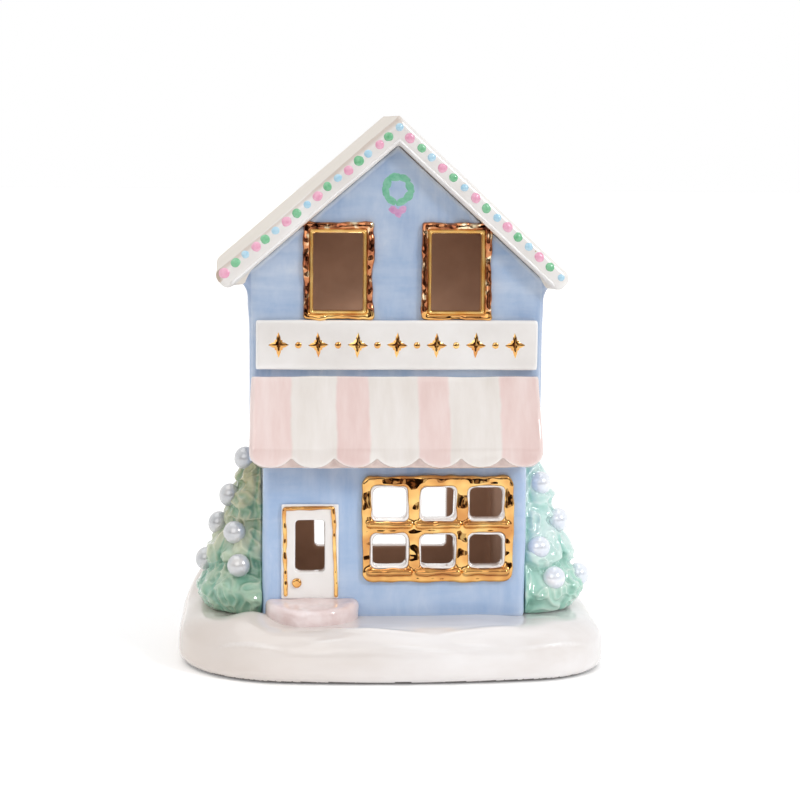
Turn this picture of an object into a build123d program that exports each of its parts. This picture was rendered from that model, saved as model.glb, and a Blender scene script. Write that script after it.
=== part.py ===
from build123d import *
import os
from math import atan2, cos, pi, radians, sin, tan

# A lit ceramic village shop, in millimetres. The shop front faces -Y, +Z is up,
# and the origin lies on the table under the middle of the snow base.

# Snow base
base_width = 144.0
base_depth = 116.0
snow_line = 17.5              # top of the snow that the house stands on
base_floor = 5.0              # ceramic under the light well
base_top_radius = 9.0
base_foot_radius = 4.5
base_hollow_margin = 12.0     # from the outline in to the hollow under the snow
base_hollow_roof = 5.0        # ceramic over that hollow
base_hollow_radius = 28.0
base_front_swell = 8.5        # how far the front and rear edges swell past their ends
base_side_swell = 3.5
base_corner_front_left = 40.0  # the poured outline is not even, so each corner has its own round
base_corner_front_right = 30.0
base_corner_rear_left = 44.0
base_corner_rear_right = 38.0

# Walls
wall = 4.5
lower_width = 88.0
upper_width = 97.0
house_depth = 74.0
front_margin = 26.0           # snow in front of the house
jetty_height = 70.0           # underside of the wider upper storey
corner_radius = 2.5
rear_opening_x = -0.5
rear_opening_width = 47.4
rear_opening_bottom = 30.0
rear_opening_height = 58.0
rear_opening_radius = 0.8

# Roof
ridge_height = 184.0
roof_span_left = 60.5         # from the ridge out to the eave
roof_span_right = 57.5        # the left slope is flatter and longer than the right one
eave_drop_left_share = 0.4549  # of the upper storey, from the ridge down to the eave
eave_drop_right_share = 0.4606
roof_drop_share = 0.0825      # of the upper storey, the roof's thickness straight down
roof_overhang = 5.0           # past the front and rear walls
eave_radius = 2.6
verge_radius = 2.0            # round of the front and rear roof edges

# Upper windows
upper_frame_width = 23.2
upper_frame_share = 0.2772    # height of the frame, of the upper storey
upper_frame_gap_share = 0.0088  # between the sign and the frame, of the upper storey
upper_opening_width = 16.4
upper_opening_share = 0.807   # height of the opening, of the frame
upper_sill_share = 0.076      # lower rail, of the frame: the rest is the head
upper_frame_offset = 19.5     # of each window from the middle
upper_corner_radius = 1.2
upper_opening_radius = 0.8
lip_width = 1.0               # thin lip round the opening, inside the broad band
lip_drop = 0.6                # of the lip below the band
sleeve = 1.0                  # frame lining inside the wall
frame_relief = 1.8
frame_round = 0.6

# Sign board
sign_width = 91.5
sign_share = 0.1368           # height of the board, of the upper storey
sign_gap_share = 0.0228       # between the awning and the sign, of the upper storey
sign_thickness = 2.4
sign_radius = 0.9

# Awning
awning_width = 96.0
awning_flare = 0.9            # how much further out each end stands at the hem than at the top
awning_corner_radius = 5.5    # lower corners, as seen from the front
awning_share = 0.2561         # height of the whole awning, of the upper storey
awning_lip = 2.2              # reach at the top
awning_reach = 11.2           # reach at the backing behind the scallops
awning_bulge = 1.0            # how far the slope swells out
valance_height = 6.4
valance_drop = 0.6            # hem below the underside of the upper storey
awning_end_radius = 1.4
awning_ridge_radius = 1.0     # round between the slope and the scallops
scallop_count = 7
scallop_relief = 2.0
scallop_drop = 3.4            # depth of each scallop's curve
scallop_hem = 0.3             # backing left under the scallops

# Shop window
shop_frame_width = 50.5
shop_frame_share = 0.68       # height of the frame, of the lower storey
shop_frame_rise_share = 0.2324  # of its lower edge above the snow, of the lower storey
shop_frame_x = 14.2
shop_corner_radius = 3.0
pane_columns = 3
pane_rows = 2
pane_width = 11.2
pane_height_share = 0.2969    # of the frame's height
pane_pitch_x = 16.1
pane_pitch_share = 0.4454     # from row to row, of the frame's height
pane_radius = 2.0
pane_rim = 0.7                # white collar left round each pane inside the gold
pane_rim_relief = 1.1
pane_lift = 0.7               # the panes sit a little above the frame's middle
sill_radius = 1.1
sill_overlap = 1.0            # of each sill past its pane, per side

# Door
door_x = -28.3
door_width = 19.0
door_share = 0.6076           # height of the door, of the lower storey
door_relief = 1.0
door_glass_width = 9.8
door_glass_share = 0.5455     # height of the glass, of the door
door_glass_rise_share = 0.2853  # of its lower edge above the door's foot, of the door
door_glass_radius = 1.2
casing_width = 1.3
casing_relief = 0.9
casing_inset = 0.5            # door edge left outside the casing
casing_round = 0.4
knob_diameter = 3.2
knob_relief = 1.0
knob_offset = -4.4            # from the middle of the door
knob_rise_share = 0.1724      # above the door's foot, of the door

# Step
step_x = -27.7
step_width = 30.2
step_reach = 13.0
step_height = 6.6             # at the door
step_front_height = 4.6
step_radius = 1.9

# Trees
tree_y = -9.0
tree_radius = 24.0            # of the cone the tiers follow, at the snow
tree_height_share = 1.2952    # of the lower storey, though the tip is cut off under the upper one
tree_foot_radius = 18.0
tree_skirt_height = 7.0       # from the snow up to the widest bough
tree_tiers = 5
tier_flare = 0.9
tier_tuck = 1.3
tier_bulge = 0.6
bough_radius = 4.6
bough_spacing = 8.4
bough_sink_share = 0.65       # how far each bough's middle lies below the cone, of its radius
bough_taper_share = 0.5       # how much the top tier's boughs shrink
bough_stagger_shares = [0.35, 0.65]  # where a tier's first bough starts, so that tiers alternate
pearl_diameter = 8.0

# Each pearl's height above the snow as a share of the tree's height, and its bearing from
# straight out of the side wall, positive to the front
left_pearl_shares = [
    (0.750, 29.0), (0.562, 9.5), (0.415, -3.5), (0.397, 52.0), (0.235, -2.5), (0.245, 65.0),
    (0.560, -52.0), (0.250, -46.0),
]
right_pearl_shares = [
    (0.630, 46.5), (0.440, 22.0), (0.327, 72.0), (0.178, 59.5), (0.154, 5.0),
    (0.560, -48.0), (0.380, -30.0), (0.230, -58.0),
]

# Tea light
light_x = -14.5
light_wall_gap = 1.2          # from the shop front's inner face
cup_diameter = 36.0
cup_height = 15.0
cup_wall = 1.2
cup_round = 1.0
dish_depth = 2.0
dish_radius = 13.0
plate_recess = 0.8            # of the base plate inside the rim
plate_thickness = 1.6
fit_gap = 0.15                # between pieces that slide or drop in
hatch_diameter = 22.6
hatch_offset = 4.2            # of the battery hatch from the middle, to the rear
hatch_slot_width = 1.4
hatch_slot_length = 12.0
hatch_slot_depth = 0.7
cell_diameter = 20.0
cell_height = 3.2
cell_round = 0.4
strip_width = 3.0
strip_thickness = 0.4
strip_reach = 7.0             # of the upper strip over the cell
led_diameter = 5.0
led_flange_diameter = 5.8
led_flange_height = 1.0
led_height = 8.4
led_lift = 2.6                # of the lamp above the cell
flame_diameter = 9.0
flame_height = 15.0
flame_wall = 0.9
flame_flange = 1.2
flame_belly_share = 0.28      # height of its widest point
flame_waist_share = 0.70      # height and width of the point where its tip draws in
flame_waist_width_share = 0.5
switch_width = 2.6
switch_length = 3.0
switch_travel = 2.5
switch_drop = 0.5             # of the knob below the plate
switch_flange = 1.0
switch_offset = -11.6         # from the middle, to the front

# Places that follow from the sizes
house_front = front_margin - base_depth / 2
house_back = house_front + house_depth
front_inner = house_front + wall
rear_inner = house_back - wall
lower_half = lower_width / 2
upper_half = upper_width / 2
lower_storey = jetty_height - snow_line
upper_storey = ridge_height - jetty_height
roof_drop = upper_storey * roof_drop_share
gable_height = ridge_height - roof_drop
valance_bottom = jetty_height - valance_drop
valance_top = valance_bottom + valance_height
awning_top = valance_bottom + upper_storey * awning_share
sign_bottom = awning_top + upper_storey * sign_gap_share
sign_height = upper_storey * sign_share
upper_frame_bottom = sign_bottom + sign_height + upper_storey * upper_frame_gap_share
upper_frame_height = upper_storey * upper_frame_share
upper_frame_z = upper_frame_bottom + upper_frame_height / 2
upper_opening_height = upper_frame_height * upper_opening_share
upper_opening_z = upper_frame_bottom + upper_frame_height * upper_sill_share + upper_opening_height / 2
shop_frame_bottom = snow_line + lower_storey * shop_frame_rise_share
shop_frame_height = lower_storey * shop_frame_share
shop_frame_z = shop_frame_bottom + shop_frame_height / 2
pane_height = shop_frame_height * pane_height_share
pane_pitch_z = shop_frame_height * pane_pitch_share
door_bottom = snow_line + step_height
door_height = lower_storey * door_share
door_front = house_front - door_relief
door_glass_height = door_height * door_glass_share
door_glass_z = door_bottom + door_height * door_glass_rise_share + door_glass_height / 2
knob_z = door_bottom + door_height * knob_rise_share
tree_height = lower_storey * tree_height_share
light_radius = cup_diameter / 2
light_y = front_inner + light_wall_gap + light_radius


def facing(y):
    """Sketch plane that looks out of the shop front, at depth y."""
    return Plane.XZ.offset(-y)


def roof_span(side):
    """Reach of the slope on one side, from the ridge to the eave."""
    return roof_span_left if side < 0 else roof_span_right


def roof_pitch(side):
    """Pitch of the slope on one side, in radians."""
    share = eave_drop_left_share if side < 0 else eave_drop_right_share
    return atan2(upper_storey * share, roof_span(side))


def roof_underside(x):
    """Height of the roof's underside at x from the middle."""
    return gable_height - abs(x) * tan(roof_pitch(x))


def pane_places():
    """Middles of the shop window's panes, in the plane of the front."""
    middle = shop_frame_z + pane_lift
    places = []
    for column in range(pane_columns):
        for row in range(pane_rows):
            x = shop_frame_x + (column - (pane_columns - 1) / 2) * pane_pitch_x
            places.append((x, middle + (row - (pane_rows - 1) / 2) * pane_pitch_z))
    return places


# Walls
with BuildPart() as shopfront_wall:
    with BuildSketch(facing(house_front)):
        with Locations((0, snow_line)):
            Rectangle(lower_width, jetty_height - snow_line, align=(Align.CENTER, Align.MIN))
    extrude(amount=-wall)
    fillet(shopfront_wall.edges().filter_by(Axis.Z).group_by(Axis.Y)[0], corner_radius)
    with BuildSketch(facing(house_front)):
        with Locations(*pane_places()):
            RectangleRounded(pane_width + 2 * pane_rim, pane_height + 2 * pane_rim, pane_radius)
    extrude(amount=pane_rim_relief)
    with BuildSketch(facing(front_inner)):
        with Locations(*pane_places()):
            RectangleRounded(pane_width, pane_height, pane_radius)
        with Locations((door_x, door_glass_z)):
            RectangleRounded(door_glass_width, door_glass_height, door_glass_radius)
    extrude(amount=wall + pane_rim_relief, mode=Mode.SUBTRACT)

with BuildPart() as gable_wall:
    with BuildSketch(facing(house_front)):
        with BuildLine():
            Polyline(
                (-upper_half, jetty_height),
                (upper_half, jetty_height),
                (upper_half, roof_underside(upper_half)),
                (0, gable_height),
                (-upper_half, roof_underside(-upper_half)),
                close=True,
            )
        make_face()
    extrude(amount=-wall)
    fillet(gable_wall.edges().filter_by(Axis.Z).group_by(Axis.Y)[0], corner_radius)
    with BuildSketch(facing(house_front)):
        with Locations((-upper_frame_offset, upper_opening_z), (upper_frame_offset, upper_opening_z)):
            RectangleRounded(
                upper_opening_width + 2 * sleeve,
                upper_opening_height + 2 * sleeve,
                upper_opening_radius + sleeve,
            )
    extrude(amount=-wall, mode=Mode.SUBTRACT)

with BuildPart() as rear_wall:
    with BuildSketch(facing(house_back)):
        with BuildLine():
            Polyline(
                (-lower_half, snow_line),
                (lower_half, snow_line),
                (lower_half, jetty_height),
                (upper_half, jetty_height),
                (upper_half, roof_underside(upper_half)),
                (0, gable_height),
                (-upper_half, roof_underside(-upper_half)),
                (-upper_half, jetty_height),
                (-lower_half, jetty_height),
                close=True,
            )
        make_face()
    extrude(amount=wall)
    fillet(rear_wall.edges().filter_by(Axis.Z).group_by(Axis.Y)[-1], corner_radius)
    with BuildSketch(facing(house_back)):
        with Locations((rear_opening_x, rear_opening_bottom + rear_opening_height / 2)):
            RectangleRounded(rear_opening_width, rear_opening_height, rear_opening_radius)
    extrude(amount=wall, mode=Mode.SUBTRACT)


def side_wall(side):
    """One side wall, with the step out to the upper storey, between the front and rear walls."""
    lower_outer = side * lower_half
    lower_inner = side * (lower_half - wall)
    upper_outer = side * upper_half
    upper_inner = side * (upper_half - wall)
    with BuildPart() as panel:
        with BuildSketch(facing(front_inner)):
            with BuildLine():
                Polyline(
                    (lower_outer, snow_line),
                    (lower_outer, jetty_height),
                    (upper_outer, jetty_height),
                    (upper_outer, roof_underside(upper_outer)),
                    (upper_inner, roof_underside(upper_inner)),
                    (upper_inner, jetty_height + wall),
                    (lower_inner, jetty_height + wall),
                    (lower_inner, snow_line),
                    close=True,
                )
            make_face()
        extrude(amount=front_inner - rear_inner)
    return panel.part


with BuildPart() as left_wall:
    add(side_wall(-1))

with BuildPart() as right_wall:
    add(side_wall(1))

# Roof: one uneven chevron, square-cut at the eaves, all outer edges softened as glazed ware is
def eave(side):
    """Upper and lower corner of the square-cut eave on one side."""
    pitch = roof_pitch(side)
    span = roof_span(side)
    tip = ridge_height - span * tan(pitch)
    thickness = roof_drop * cos(pitch)
    return [(side * span, tip), (side * (span - thickness * sin(pitch)), tip - thickness * cos(pitch))]


eave_left = eave(-1)
eave_right = eave(1)
with BuildPart() as roof:
    with BuildSketch(facing(house_front - roof_overhang)):
        with BuildLine():
            Polyline(
                (0, ridge_height),
                eave_right[0],
                eave_right[1],
                (0, gable_height),
                eave_left[1],
                eave_left[0],
                close=True,
            )
        make_face()
    extrude(amount=-(house_depth + 2 * roof_overhang))
    eaves = roof.edges().filter_by(Axis.Y).filter_by(lambda edge: abs(edge.center().X) > upper_half)
    fillet(eaves, eave_radius)
    verges = roof.faces().sort_by(Axis.Y)[0].edges() + roof.faces().sort_by(Axis.Y)[-1].edges()
    fillet(verges, verge_radius)

# Sign board
with BuildPart() as sign_board:
    with BuildSketch(facing(house_front)):
        with Locations((0, sign_bottom)):
            Rectangle(sign_width, sign_height, align=(Align.CENTER, Align.MIN))
    extrude(amount=sign_thickness)
    fillet(sign_board.faces().sort_by(Axis.Y)[0].edges(), sign_radius)

# Awning: a swelling slope that runs down into a row of scallops standing out from their backing,
# all trimmed to one outline that flares to the hem and has round lower corners
scallop_front = house_front - awning_reach - scallop_relief
swell_y = (house_front - awning_lip + scallop_front) / 2 - awning_bulge
swell_z = (awning_top + valance_top) / 2 + awning_bulge
scallop_width = awning_width / scallop_count
scallop_top = valance_bottom + scallop_hem + scallop_drop
awning_half = awning_width / 2
with BuildPart() as awning:
    with BuildSketch(Plane.YZ) as awning_profile:
        with BuildLine():
            Line((house_front, awning_top), (house_front - awning_lip, awning_top))
            ThreePointArc(
                (house_front - awning_lip, awning_top), (swell_y, swell_z), (scallop_front, valance_top)
            )
            Polyline(
                (scallop_front, valance_top),
                (scallop_front, valance_bottom),
                (house_front, valance_bottom),
                (house_front, awning_top),
            )
        make_face()
        fillet(awning_profile.vertices().group_by(Axis.X)[0].sort_by(Axis.Y)[-1], awning_ridge_radius)
    extrude(amount=awning_half, both=True)
    with BuildSketch(facing(house_front)) as awning_outline:
        with BuildLine():
            Polyline(
                (awning_flare - awning_half, awning_top),
                (awning_half - awning_flare, awning_top),
                (awning_half, valance_bottom),
                (-awning_half, valance_bottom),
                close=True,
            )
        make_face()
        fillet(awning_outline.vertices().group_by(Axis.Y)[0], awning_corner_radius)
    extrude(amount=awning_reach + scallop_relief, mode=Mode.INTERSECT)
    ends = awning.edges().filter_by(lambda edge: edge.center().Z > valance_top)
    ends = ends.filter_by(lambda edge: house_front - edge.center().Y > awning_lip)
    ends = ends.filter_by(lambda edge: abs(edge.center().X) > awning_half - 2 * awning_flare)
    fillet(ends, awning_end_radius)
    with BuildSketch(facing(scallop_front)):
        with BuildLine():
            Polyline(
                (-awning_half, scallop_top),
                (-awning_half, valance_bottom),
                (awning_half, valance_bottom),
                (awning_half, scallop_top),
            )
            for index in range(scallop_count):
                start = index * scallop_width - awning_half
                ThreePointArc(
                    (start, scallop_top),
                    (start + scallop_width / 2, scallop_top - scallop_drop),
                    (start + scallop_width, scallop_top),
                )
        make_face()
    extrude(amount=-scallop_relief, mode=Mode.SUBTRACT)

# Upper window frames, each with a sleeve that lines its hole through the wall
def upper_window_frame(x):
    """Gold band and lip round one upper window, its outer top corner cut where the roof comes down on it."""
    with BuildPart() as frame:
        with BuildSketch(facing(house_front)):
            with Locations((x, upper_frame_z)):
                RectangleRounded(upper_frame_width, upper_frame_height, upper_corner_radius)
        extrude(amount=frame_relief)
        fillet(frame.faces().sort_by(Axis.Y)[0].edges(), frame_round)
        with BuildSketch(facing(house_front - frame_relief + lip_drop)):
            with Locations((x, upper_opening_z)):
                RectangleRounded(
                    upper_opening_width + 2 * lip_width,
                    upper_opening_height + 2 * lip_width,
                    upper_opening_radius + lip_width,
                )
        extrude(amount=lip_drop, mode=Mode.SUBTRACT)
        with BuildSketch(facing(house_front)):
            with Locations((x, upper_opening_z)):
                RectangleRounded(
                    upper_opening_width + 2 * sleeve,
                    upper_opening_height + 2 * sleeve,
                    upper_opening_radius + sleeve,
                )
        extrude(amount=-wall)
        with BuildSketch(facing(front_inner)):
            with Locations((x, upper_opening_z)):
                RectangleRounded(upper_opening_width, upper_opening_height, upper_opening_radius)
        extrude(amount=wall + frame_relief, mode=Mode.SUBTRACT)
        add(roof.part, mode=Mode.SUBTRACT)
    return frame.part


with BuildPart() as upper_window_frame_left:
    add(upper_window_frame(-upper_frame_offset))

with BuildPart() as upper_window_frame_right:
    add(upper_window_frame(upper_frame_offset))

# Shop window frame: six rounded panes, each over its own round-ended sill bead
with BuildPart() as shop_window_frame:
    with BuildSketch(facing(house_front)):
        with Locations((shop_frame_x, shop_frame_z)):
            RectangleRounded(shop_frame_width, shop_frame_height, shop_corner_radius)
    extrude(amount=frame_relief)
    fillet(shop_window_frame.faces().sort_by(Axis.Y)[0].edges(), frame_round)
    with BuildSketch(facing(house_front)):
        with Locations(*pane_places()):
            RectangleRounded(pane_width + 2 * pane_rim, pane_height + 2 * pane_rim, pane_radius)
    extrude(amount=frame_relief, mode=Mode.SUBTRACT)
    sill_reach = pane_width / 2 + sill_overlap
    sill_places = []
    sill_ends = []
    for pane_x, pane_z in pane_places():
        sill_z = pane_z - pane_height / 2 - pane_rim - sill_radius
        sill_places.append((pane_x, house_front - frame_relief, sill_z))
        sill_ends.append((pane_x - sill_reach, house_front - frame_relief, sill_z))
        sill_ends.append((pane_x + sill_reach, house_front - frame_relief, sill_z))
    with Locations(*sill_places):
        Cylinder(sill_radius, 2 * sill_reach, rotation=(0, 90, 0))
    with Locations(*sill_ends):
        Sphere(sill_radius)

# Door
with BuildPart() as door_panel:
    with BuildSketch(facing(house_front)):
        with Locations((door_x, door_bottom)):
            Rectangle(door_width, door_height, align=(Align.CENTER, Align.MIN))
        with Locations((door_x, door_glass_z)):
            RectangleRounded(door_glass_width, door_glass_height, door_glass_radius, mode=Mode.SUBTRACT)
    extrude(amount=door_relief)

casing_outer = door_width - 2 * casing_inset
with BuildPart() as door_casing:
    with BuildSketch(facing(door_front)):
        with Locations((door_x, door_bottom)):
            Rectangle(casing_outer, door_height - casing_inset, align=(Align.CENTER, Align.MIN))
            Rectangle(
                casing_outer - 2 * casing_width,
                door_height - casing_inset - casing_width,
                align=(Align.CENTER, Align.MIN),
                mode=Mode.SUBTRACT,
            )
    extrude(amount=casing_relief)
    fillet(door_casing.faces().sort_by(Axis.Y)[0].edges(), casing_round)

with BuildPart() as door_knob:
    with BuildSketch(facing(door_front)):
        with Locations((door_x + knob_offset, knob_z)):
            Circle(knob_diameter / 2)
    extrude(amount=knob_relief)
    fillet(door_knob.faces().sort_by(Axis.Y)[0].edges(), knob_relief - casing_round)

# Step: half an ellipse against the wall, its top falling away to the front
step_top = snow_line + step_height
step_front = house_front - step_reach
with BuildPart() as door_step:
    with BuildSketch(Plane.XY.offset(snow_line)):
        with Locations((step_x, house_front)):
            Ellipse(step_width / 2, step_reach)
            Rectangle(step_width, step_reach, align=(Align.CENTER, Align.MIN), mode=Mode.SUBTRACT)
    extrude(amount=step_height)
    with BuildSketch(Plane.YZ.offset(step_x)):
        with BuildLine():
            Polyline(
                (house_front, step_top),
                (step_front, snow_line + step_front_height),
                (step_front, step_top),
                close=True,
            )
        make_face()
    extrude(amount=step_width, both=True, mode=Mode.SUBTRACT)
    fillet(door_step.faces().sort_by(Axis.Z)[-1].edges().sort_by(Axis.Y)[:-1], step_radius)


# Trees: half rounds on the side walls, in tiers of drooping boughs, cut off under the upper storey
def tree_surface(rise):
    """Radius of the cone that the tiers follow, at a rise above the snow."""
    return tree_radius * (1 - rise / tree_height)


def tree_point(side, rise, bearing, depth):
    """Point on one tree's cone, or a depth below it, at a bearing from straight out to the side."""
    reach = tree_surface(rise) - depth
    x = side * (lower_half + reach * cos(radians(bearing)))
    return (x, tree_y - reach * sin(radians(bearing)), snow_line + rise)


tier_height = (tree_height - tree_skirt_height) / tree_tiers
tree_block = 4 * tree_radius
with BuildPart() as tree_right:
    with BuildSketch(Plane(origin=(lower_half, tree_y, 0), x_dir=(0, -1, 0), z_dir=(-1, 0, 0))):
        with BuildLine():
            skirt = tree_surface(tree_skirt_height) + tier_flare
            Polyline((0, snow_line + tree_height), (0, snow_line), (tree_foot_radius, snow_line))
            ThreePointArc(
                (tree_foot_radius, snow_line),
                (skirt - tier_flare, snow_line + tree_skirt_height / 2),
                (skirt, snow_line + tree_skirt_height),
            )
            for index in range(tree_tiers):
                low = tree_skirt_height + index * tier_height
                hem = tree_surface(low) + tier_flare
                top = max(tree_surface(low + tier_height) - tier_tuck, 0)
                middle = (hem + top) / 2 + tier_bulge
                ThreePointArc(
                    (hem, snow_line + low),
                    (middle, snow_line + low + tier_height / 2),
                    (top, snow_line + low + tier_height),
                )
                if index < tree_tiers - 1:
                    next_hem = tree_surface(low + tier_height) + tier_flare
                    Line((top, snow_line + low + tier_height), (next_hem, snow_line + low + tier_height))
        make_face()
    revolve(axis=Axis((lower_half, tree_y, 0), (0, 0, 1)), revolution_arc=180)
    for index in range(tree_tiers):
        low = tree_skirt_height + index * tier_height
        size = bough_radius * (1 - bough_taper_share * index / tree_tiers)
        if snow_line + low + size < jetty_height:
            count = max(int(pi * tree_surface(low) / bough_spacing), 1)
            boughs = []
            for step in range(count):
                bearing = 180 * (step + bough_stagger_shares[index % 2]) / count - 90
                boughs.append(tree_point(1, low, bearing, bough_sink_share * size))
            with Locations(*boughs):
                Sphere(size)
    with Locations((lower_half, tree_y, snow_line + tree_height / 2)):
        Box(
            tree_block, tree_block, tree_block,
            align=(Align.MAX, Align.CENTER, Align.CENTER), mode=Mode.SUBTRACT,
        )
    with Locations((lower_half, tree_y, snow_line)):
        Box(
            tree_block, tree_block, tree_block,
            align=(Align.CENTER, Align.CENTER, Align.MAX), mode=Mode.SUBTRACT,
        )
    with Locations((lower_half, tree_y, jetty_height)):
        Box(
            tree_block, tree_block, tree_block,
            align=(Align.CENTER, Align.CENTER, Align.MIN), mode=Mode.SUBTRACT,
        )

with BuildPart() as tree_left:
    mirror(tree_right.part, about=Plane.YZ)


def pearl_places(side, shares):
    """Middles of the pearls on one tree."""
    return [tree_point(side, share * tree_height, bearing, 0) for share, bearing in shares]


with BuildPart() as tree_pearls_left:
    with Locations(*pearl_places(-1, left_pearl_shares)):
        Sphere(pearl_diameter / 2)
    add(tree_left.part, mode=Mode.SUBTRACT)
    add(left_wall.part, mode=Mode.SUBTRACT)

with BuildPart() as tree_pearls_right:
    with Locations(*pearl_places(1, right_pearl_shares)):
        Sphere(pearl_diameter / 2)
    add(tree_right.part, mode=Mode.SUBTRACT)
    add(right_wall.part, mode=Mode.SUBTRACT)

# Snow base: a soft mound, hollow under the snow, with a well for the light inside the walls
base_end_x = base_width / 2 - base_side_swell
base_end_y = base_depth / 2 - base_front_swell
base_corners = [
    (-base_end_x, -base_end_y, base_corner_front_left),
    (base_end_x, -base_end_y, base_corner_front_right),
    (-base_end_x, base_end_y, base_corner_rear_left),
    (base_end_x, base_end_y, base_corner_rear_right),
]
with BuildPart() as snow_base:
    with BuildSketch() as base_plan:
        with BuildLine():
            ThreePointArc((-base_end_x, -base_end_y), (0, -base_depth / 2), (base_end_x, -base_end_y))
            ThreePointArc((base_end_x, -base_end_y), (base_width / 2, 0), (base_end_x, base_end_y))
            ThreePointArc((base_end_x, base_end_y), (0, base_depth / 2), (-base_end_x, base_end_y))
            ThreePointArc((-base_end_x, base_end_y), (-base_width / 2, 0), (-base_end_x, -base_end_y))
        make_face()
        for corner_x, corner_y, radius in base_corners:
            fillet(base_plan.vertices().sort_by_distance((corner_x, corner_y))[0], radius)
    extrude(amount=snow_line)
    fillet(snow_base.faces().sort_by(Axis.Z)[-1].edges(), base_top_radius)
    fillet(snow_base.faces().sort_by(Axis.Z)[0].edges(), base_foot_radius)
    with BuildSketch(Plane.XY.offset(base_floor)):
        with Locations((0, (front_inner + rear_inner) / 2)):
            Rectangle(lower_width - 2 * wall, rear_inner - front_inner)
    extrude(amount=snow_line - base_floor, mode=Mode.SUBTRACT)
    with BuildSketch(Plane.XY.offset(base_floor)):
        RectangleRounded(
            base_width - 2 * base_hollow_margin, base_depth - 2 * base_hollow_margin, base_hollow_radius
        )
    extrude(amount=snow_line - base_hollow_roof - base_floor, mode=Mode.SUBTRACT)

# Tea light: cup, base plate with a battery hatch and a switch, cell, contacts, lamp and flame
plate_bottom = base_floor + plate_recess
plate_top = plate_bottom + plate_thickness
cup_top = base_floor + cup_height
dish_floor = cup_top - dish_depth
plate_radius = light_radius - cup_wall
flame_radius = flame_diameter / 2
with BuildPart() as tealight_cup:
    with BuildSketch(facing(light_y)):
        with Locations((light_x, base_floor)):
            Rectangle(light_radius, cup_height, align=(Align.MIN, Align.MIN))
        with Locations((light_x, base_floor)):
            Rectangle(
                plate_radius,
                cup_height - dish_depth - cup_wall,
                align=(Align.MIN, Align.MIN),
                mode=Mode.SUBTRACT,
            )
        with Locations((light_x, dish_floor)):
            Rectangle(dish_radius, dish_depth, align=(Align.MIN, Align.MIN), mode=Mode.SUBTRACT)
        with Locations((light_x, base_floor)):
            Rectangle(flame_radius, cup_height, align=(Align.MIN, Align.MIN), mode=Mode.SUBTRACT)
    revolve(axis=Axis((light_x, light_y, 0), (0, 0, 1)))
    fillet(tealight_cup.faces().sort_by(Axis.Z)[-1].edges(), cup_round)

hatch_y = light_y + hatch_offset
switch_y = light_y + switch_offset
slot_length = switch_length + switch_travel + 2 * fit_gap
slot_width = switch_width + 2 * fit_gap
slot_x = light_x + switch_travel / 2
with BuildPart() as tealight_base_plate:
    with BuildSketch(Plane.XY.offset(plate_bottom)):
        with Locations((light_x, light_y)):
            Circle(plate_radius)
        with Locations((light_x, hatch_y)):
            Circle(hatch_diameter / 2, mode=Mode.SUBTRACT)
        with Locations((slot_x, switch_y)):
            Rectangle(slot_length, slot_width, mode=Mode.SUBTRACT)
    extrude(amount=plate_thickness)

with BuildPart() as tealight_battery_door:
    with BuildSketch(Plane.XY.offset(plate_bottom)):
        with Locations((light_x, hatch_y)):
            Circle(hatch_diameter / 2)
    extrude(amount=plate_thickness)
    with BuildSketch(Plane.XY.offset(plate_bottom)):
        with Locations((light_x, hatch_y)):
            SlotOverall(hatch_slot_length, hatch_slot_width)
    extrude(amount=hatch_slot_depth, mode=Mode.SUBTRACT)

cell_bottom = plate_top + strip_thickness
cell_top = cell_bottom + cell_height
with BuildPart() as tealight_coin_cell:
    with BuildSketch(Plane.XY.offset(cell_bottom)):
        with Locations((light_x, hatch_y)):
            Circle(cell_diameter / 2)
    extrude(amount=cell_height)
    fillet(tealight_coin_cell.edges().filter_by(GeomType.CIRCLE), cell_round)

# The lower strip lies under the cell and rises in front of it, the upper one lies on the cell,
# and both end under the lamp
lamp_bottom = cell_top + led_lift
strip_front = hatch_y - cell_diameter / 2 - strip_thickness - fit_gap
with BuildPart() as tealight_contacts:
    with BuildSketch(Plane.YZ.offset(light_x - strip_width)):
        with BuildLine():
            Polyline(
                (hatch_y, plate_top),
                (strip_front, plate_top),
                (strip_front, lamp_bottom),
                (light_y, lamp_bottom),
                (light_y, lamp_bottom - strip_thickness),
                (strip_front + strip_thickness, lamp_bottom - strip_thickness),
                (strip_front + strip_thickness, cell_bottom),
                (hatch_y, cell_bottom),
                close=True,
            )
        make_face()
    extrude(amount=strip_width - fit_gap)
    with BuildSketch(Plane.YZ.offset(light_x + fit_gap)):
        with BuildLine():
            Polyline(
                (light_y + strip_reach, cell_top),
                (light_y, cell_top),
                (light_y, lamp_bottom),
                (light_y + strip_thickness, lamp_bottom),
                (light_y + strip_thickness, cell_top + strip_thickness),
                (light_y + strip_reach, cell_top + strip_thickness),
                close=True,
            )
        make_face()
    extrude(amount=strip_width - fit_gap)

with BuildPart() as tealight_led:
    with Locations((light_x, light_y, lamp_bottom)):
        Cylinder(led_flange_diameter / 2, led_flange_height, align=(Align.CENTER, Align.CENTER, Align.MIN))
        Cylinder(
            led_diameter / 2, led_height - led_diameter / 2, align=(Align.CENTER, Align.CENTER, Align.MIN)
        )
    with Locations((light_x, light_y, lamp_bottom + led_height - led_diameter / 2)):
        Sphere(led_diameter / 2)

dish_underside = dish_floor - cup_wall
flame_foot = dish_underside - flame_flange
flame_tip = cup_top + flame_height - dish_depth


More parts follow.
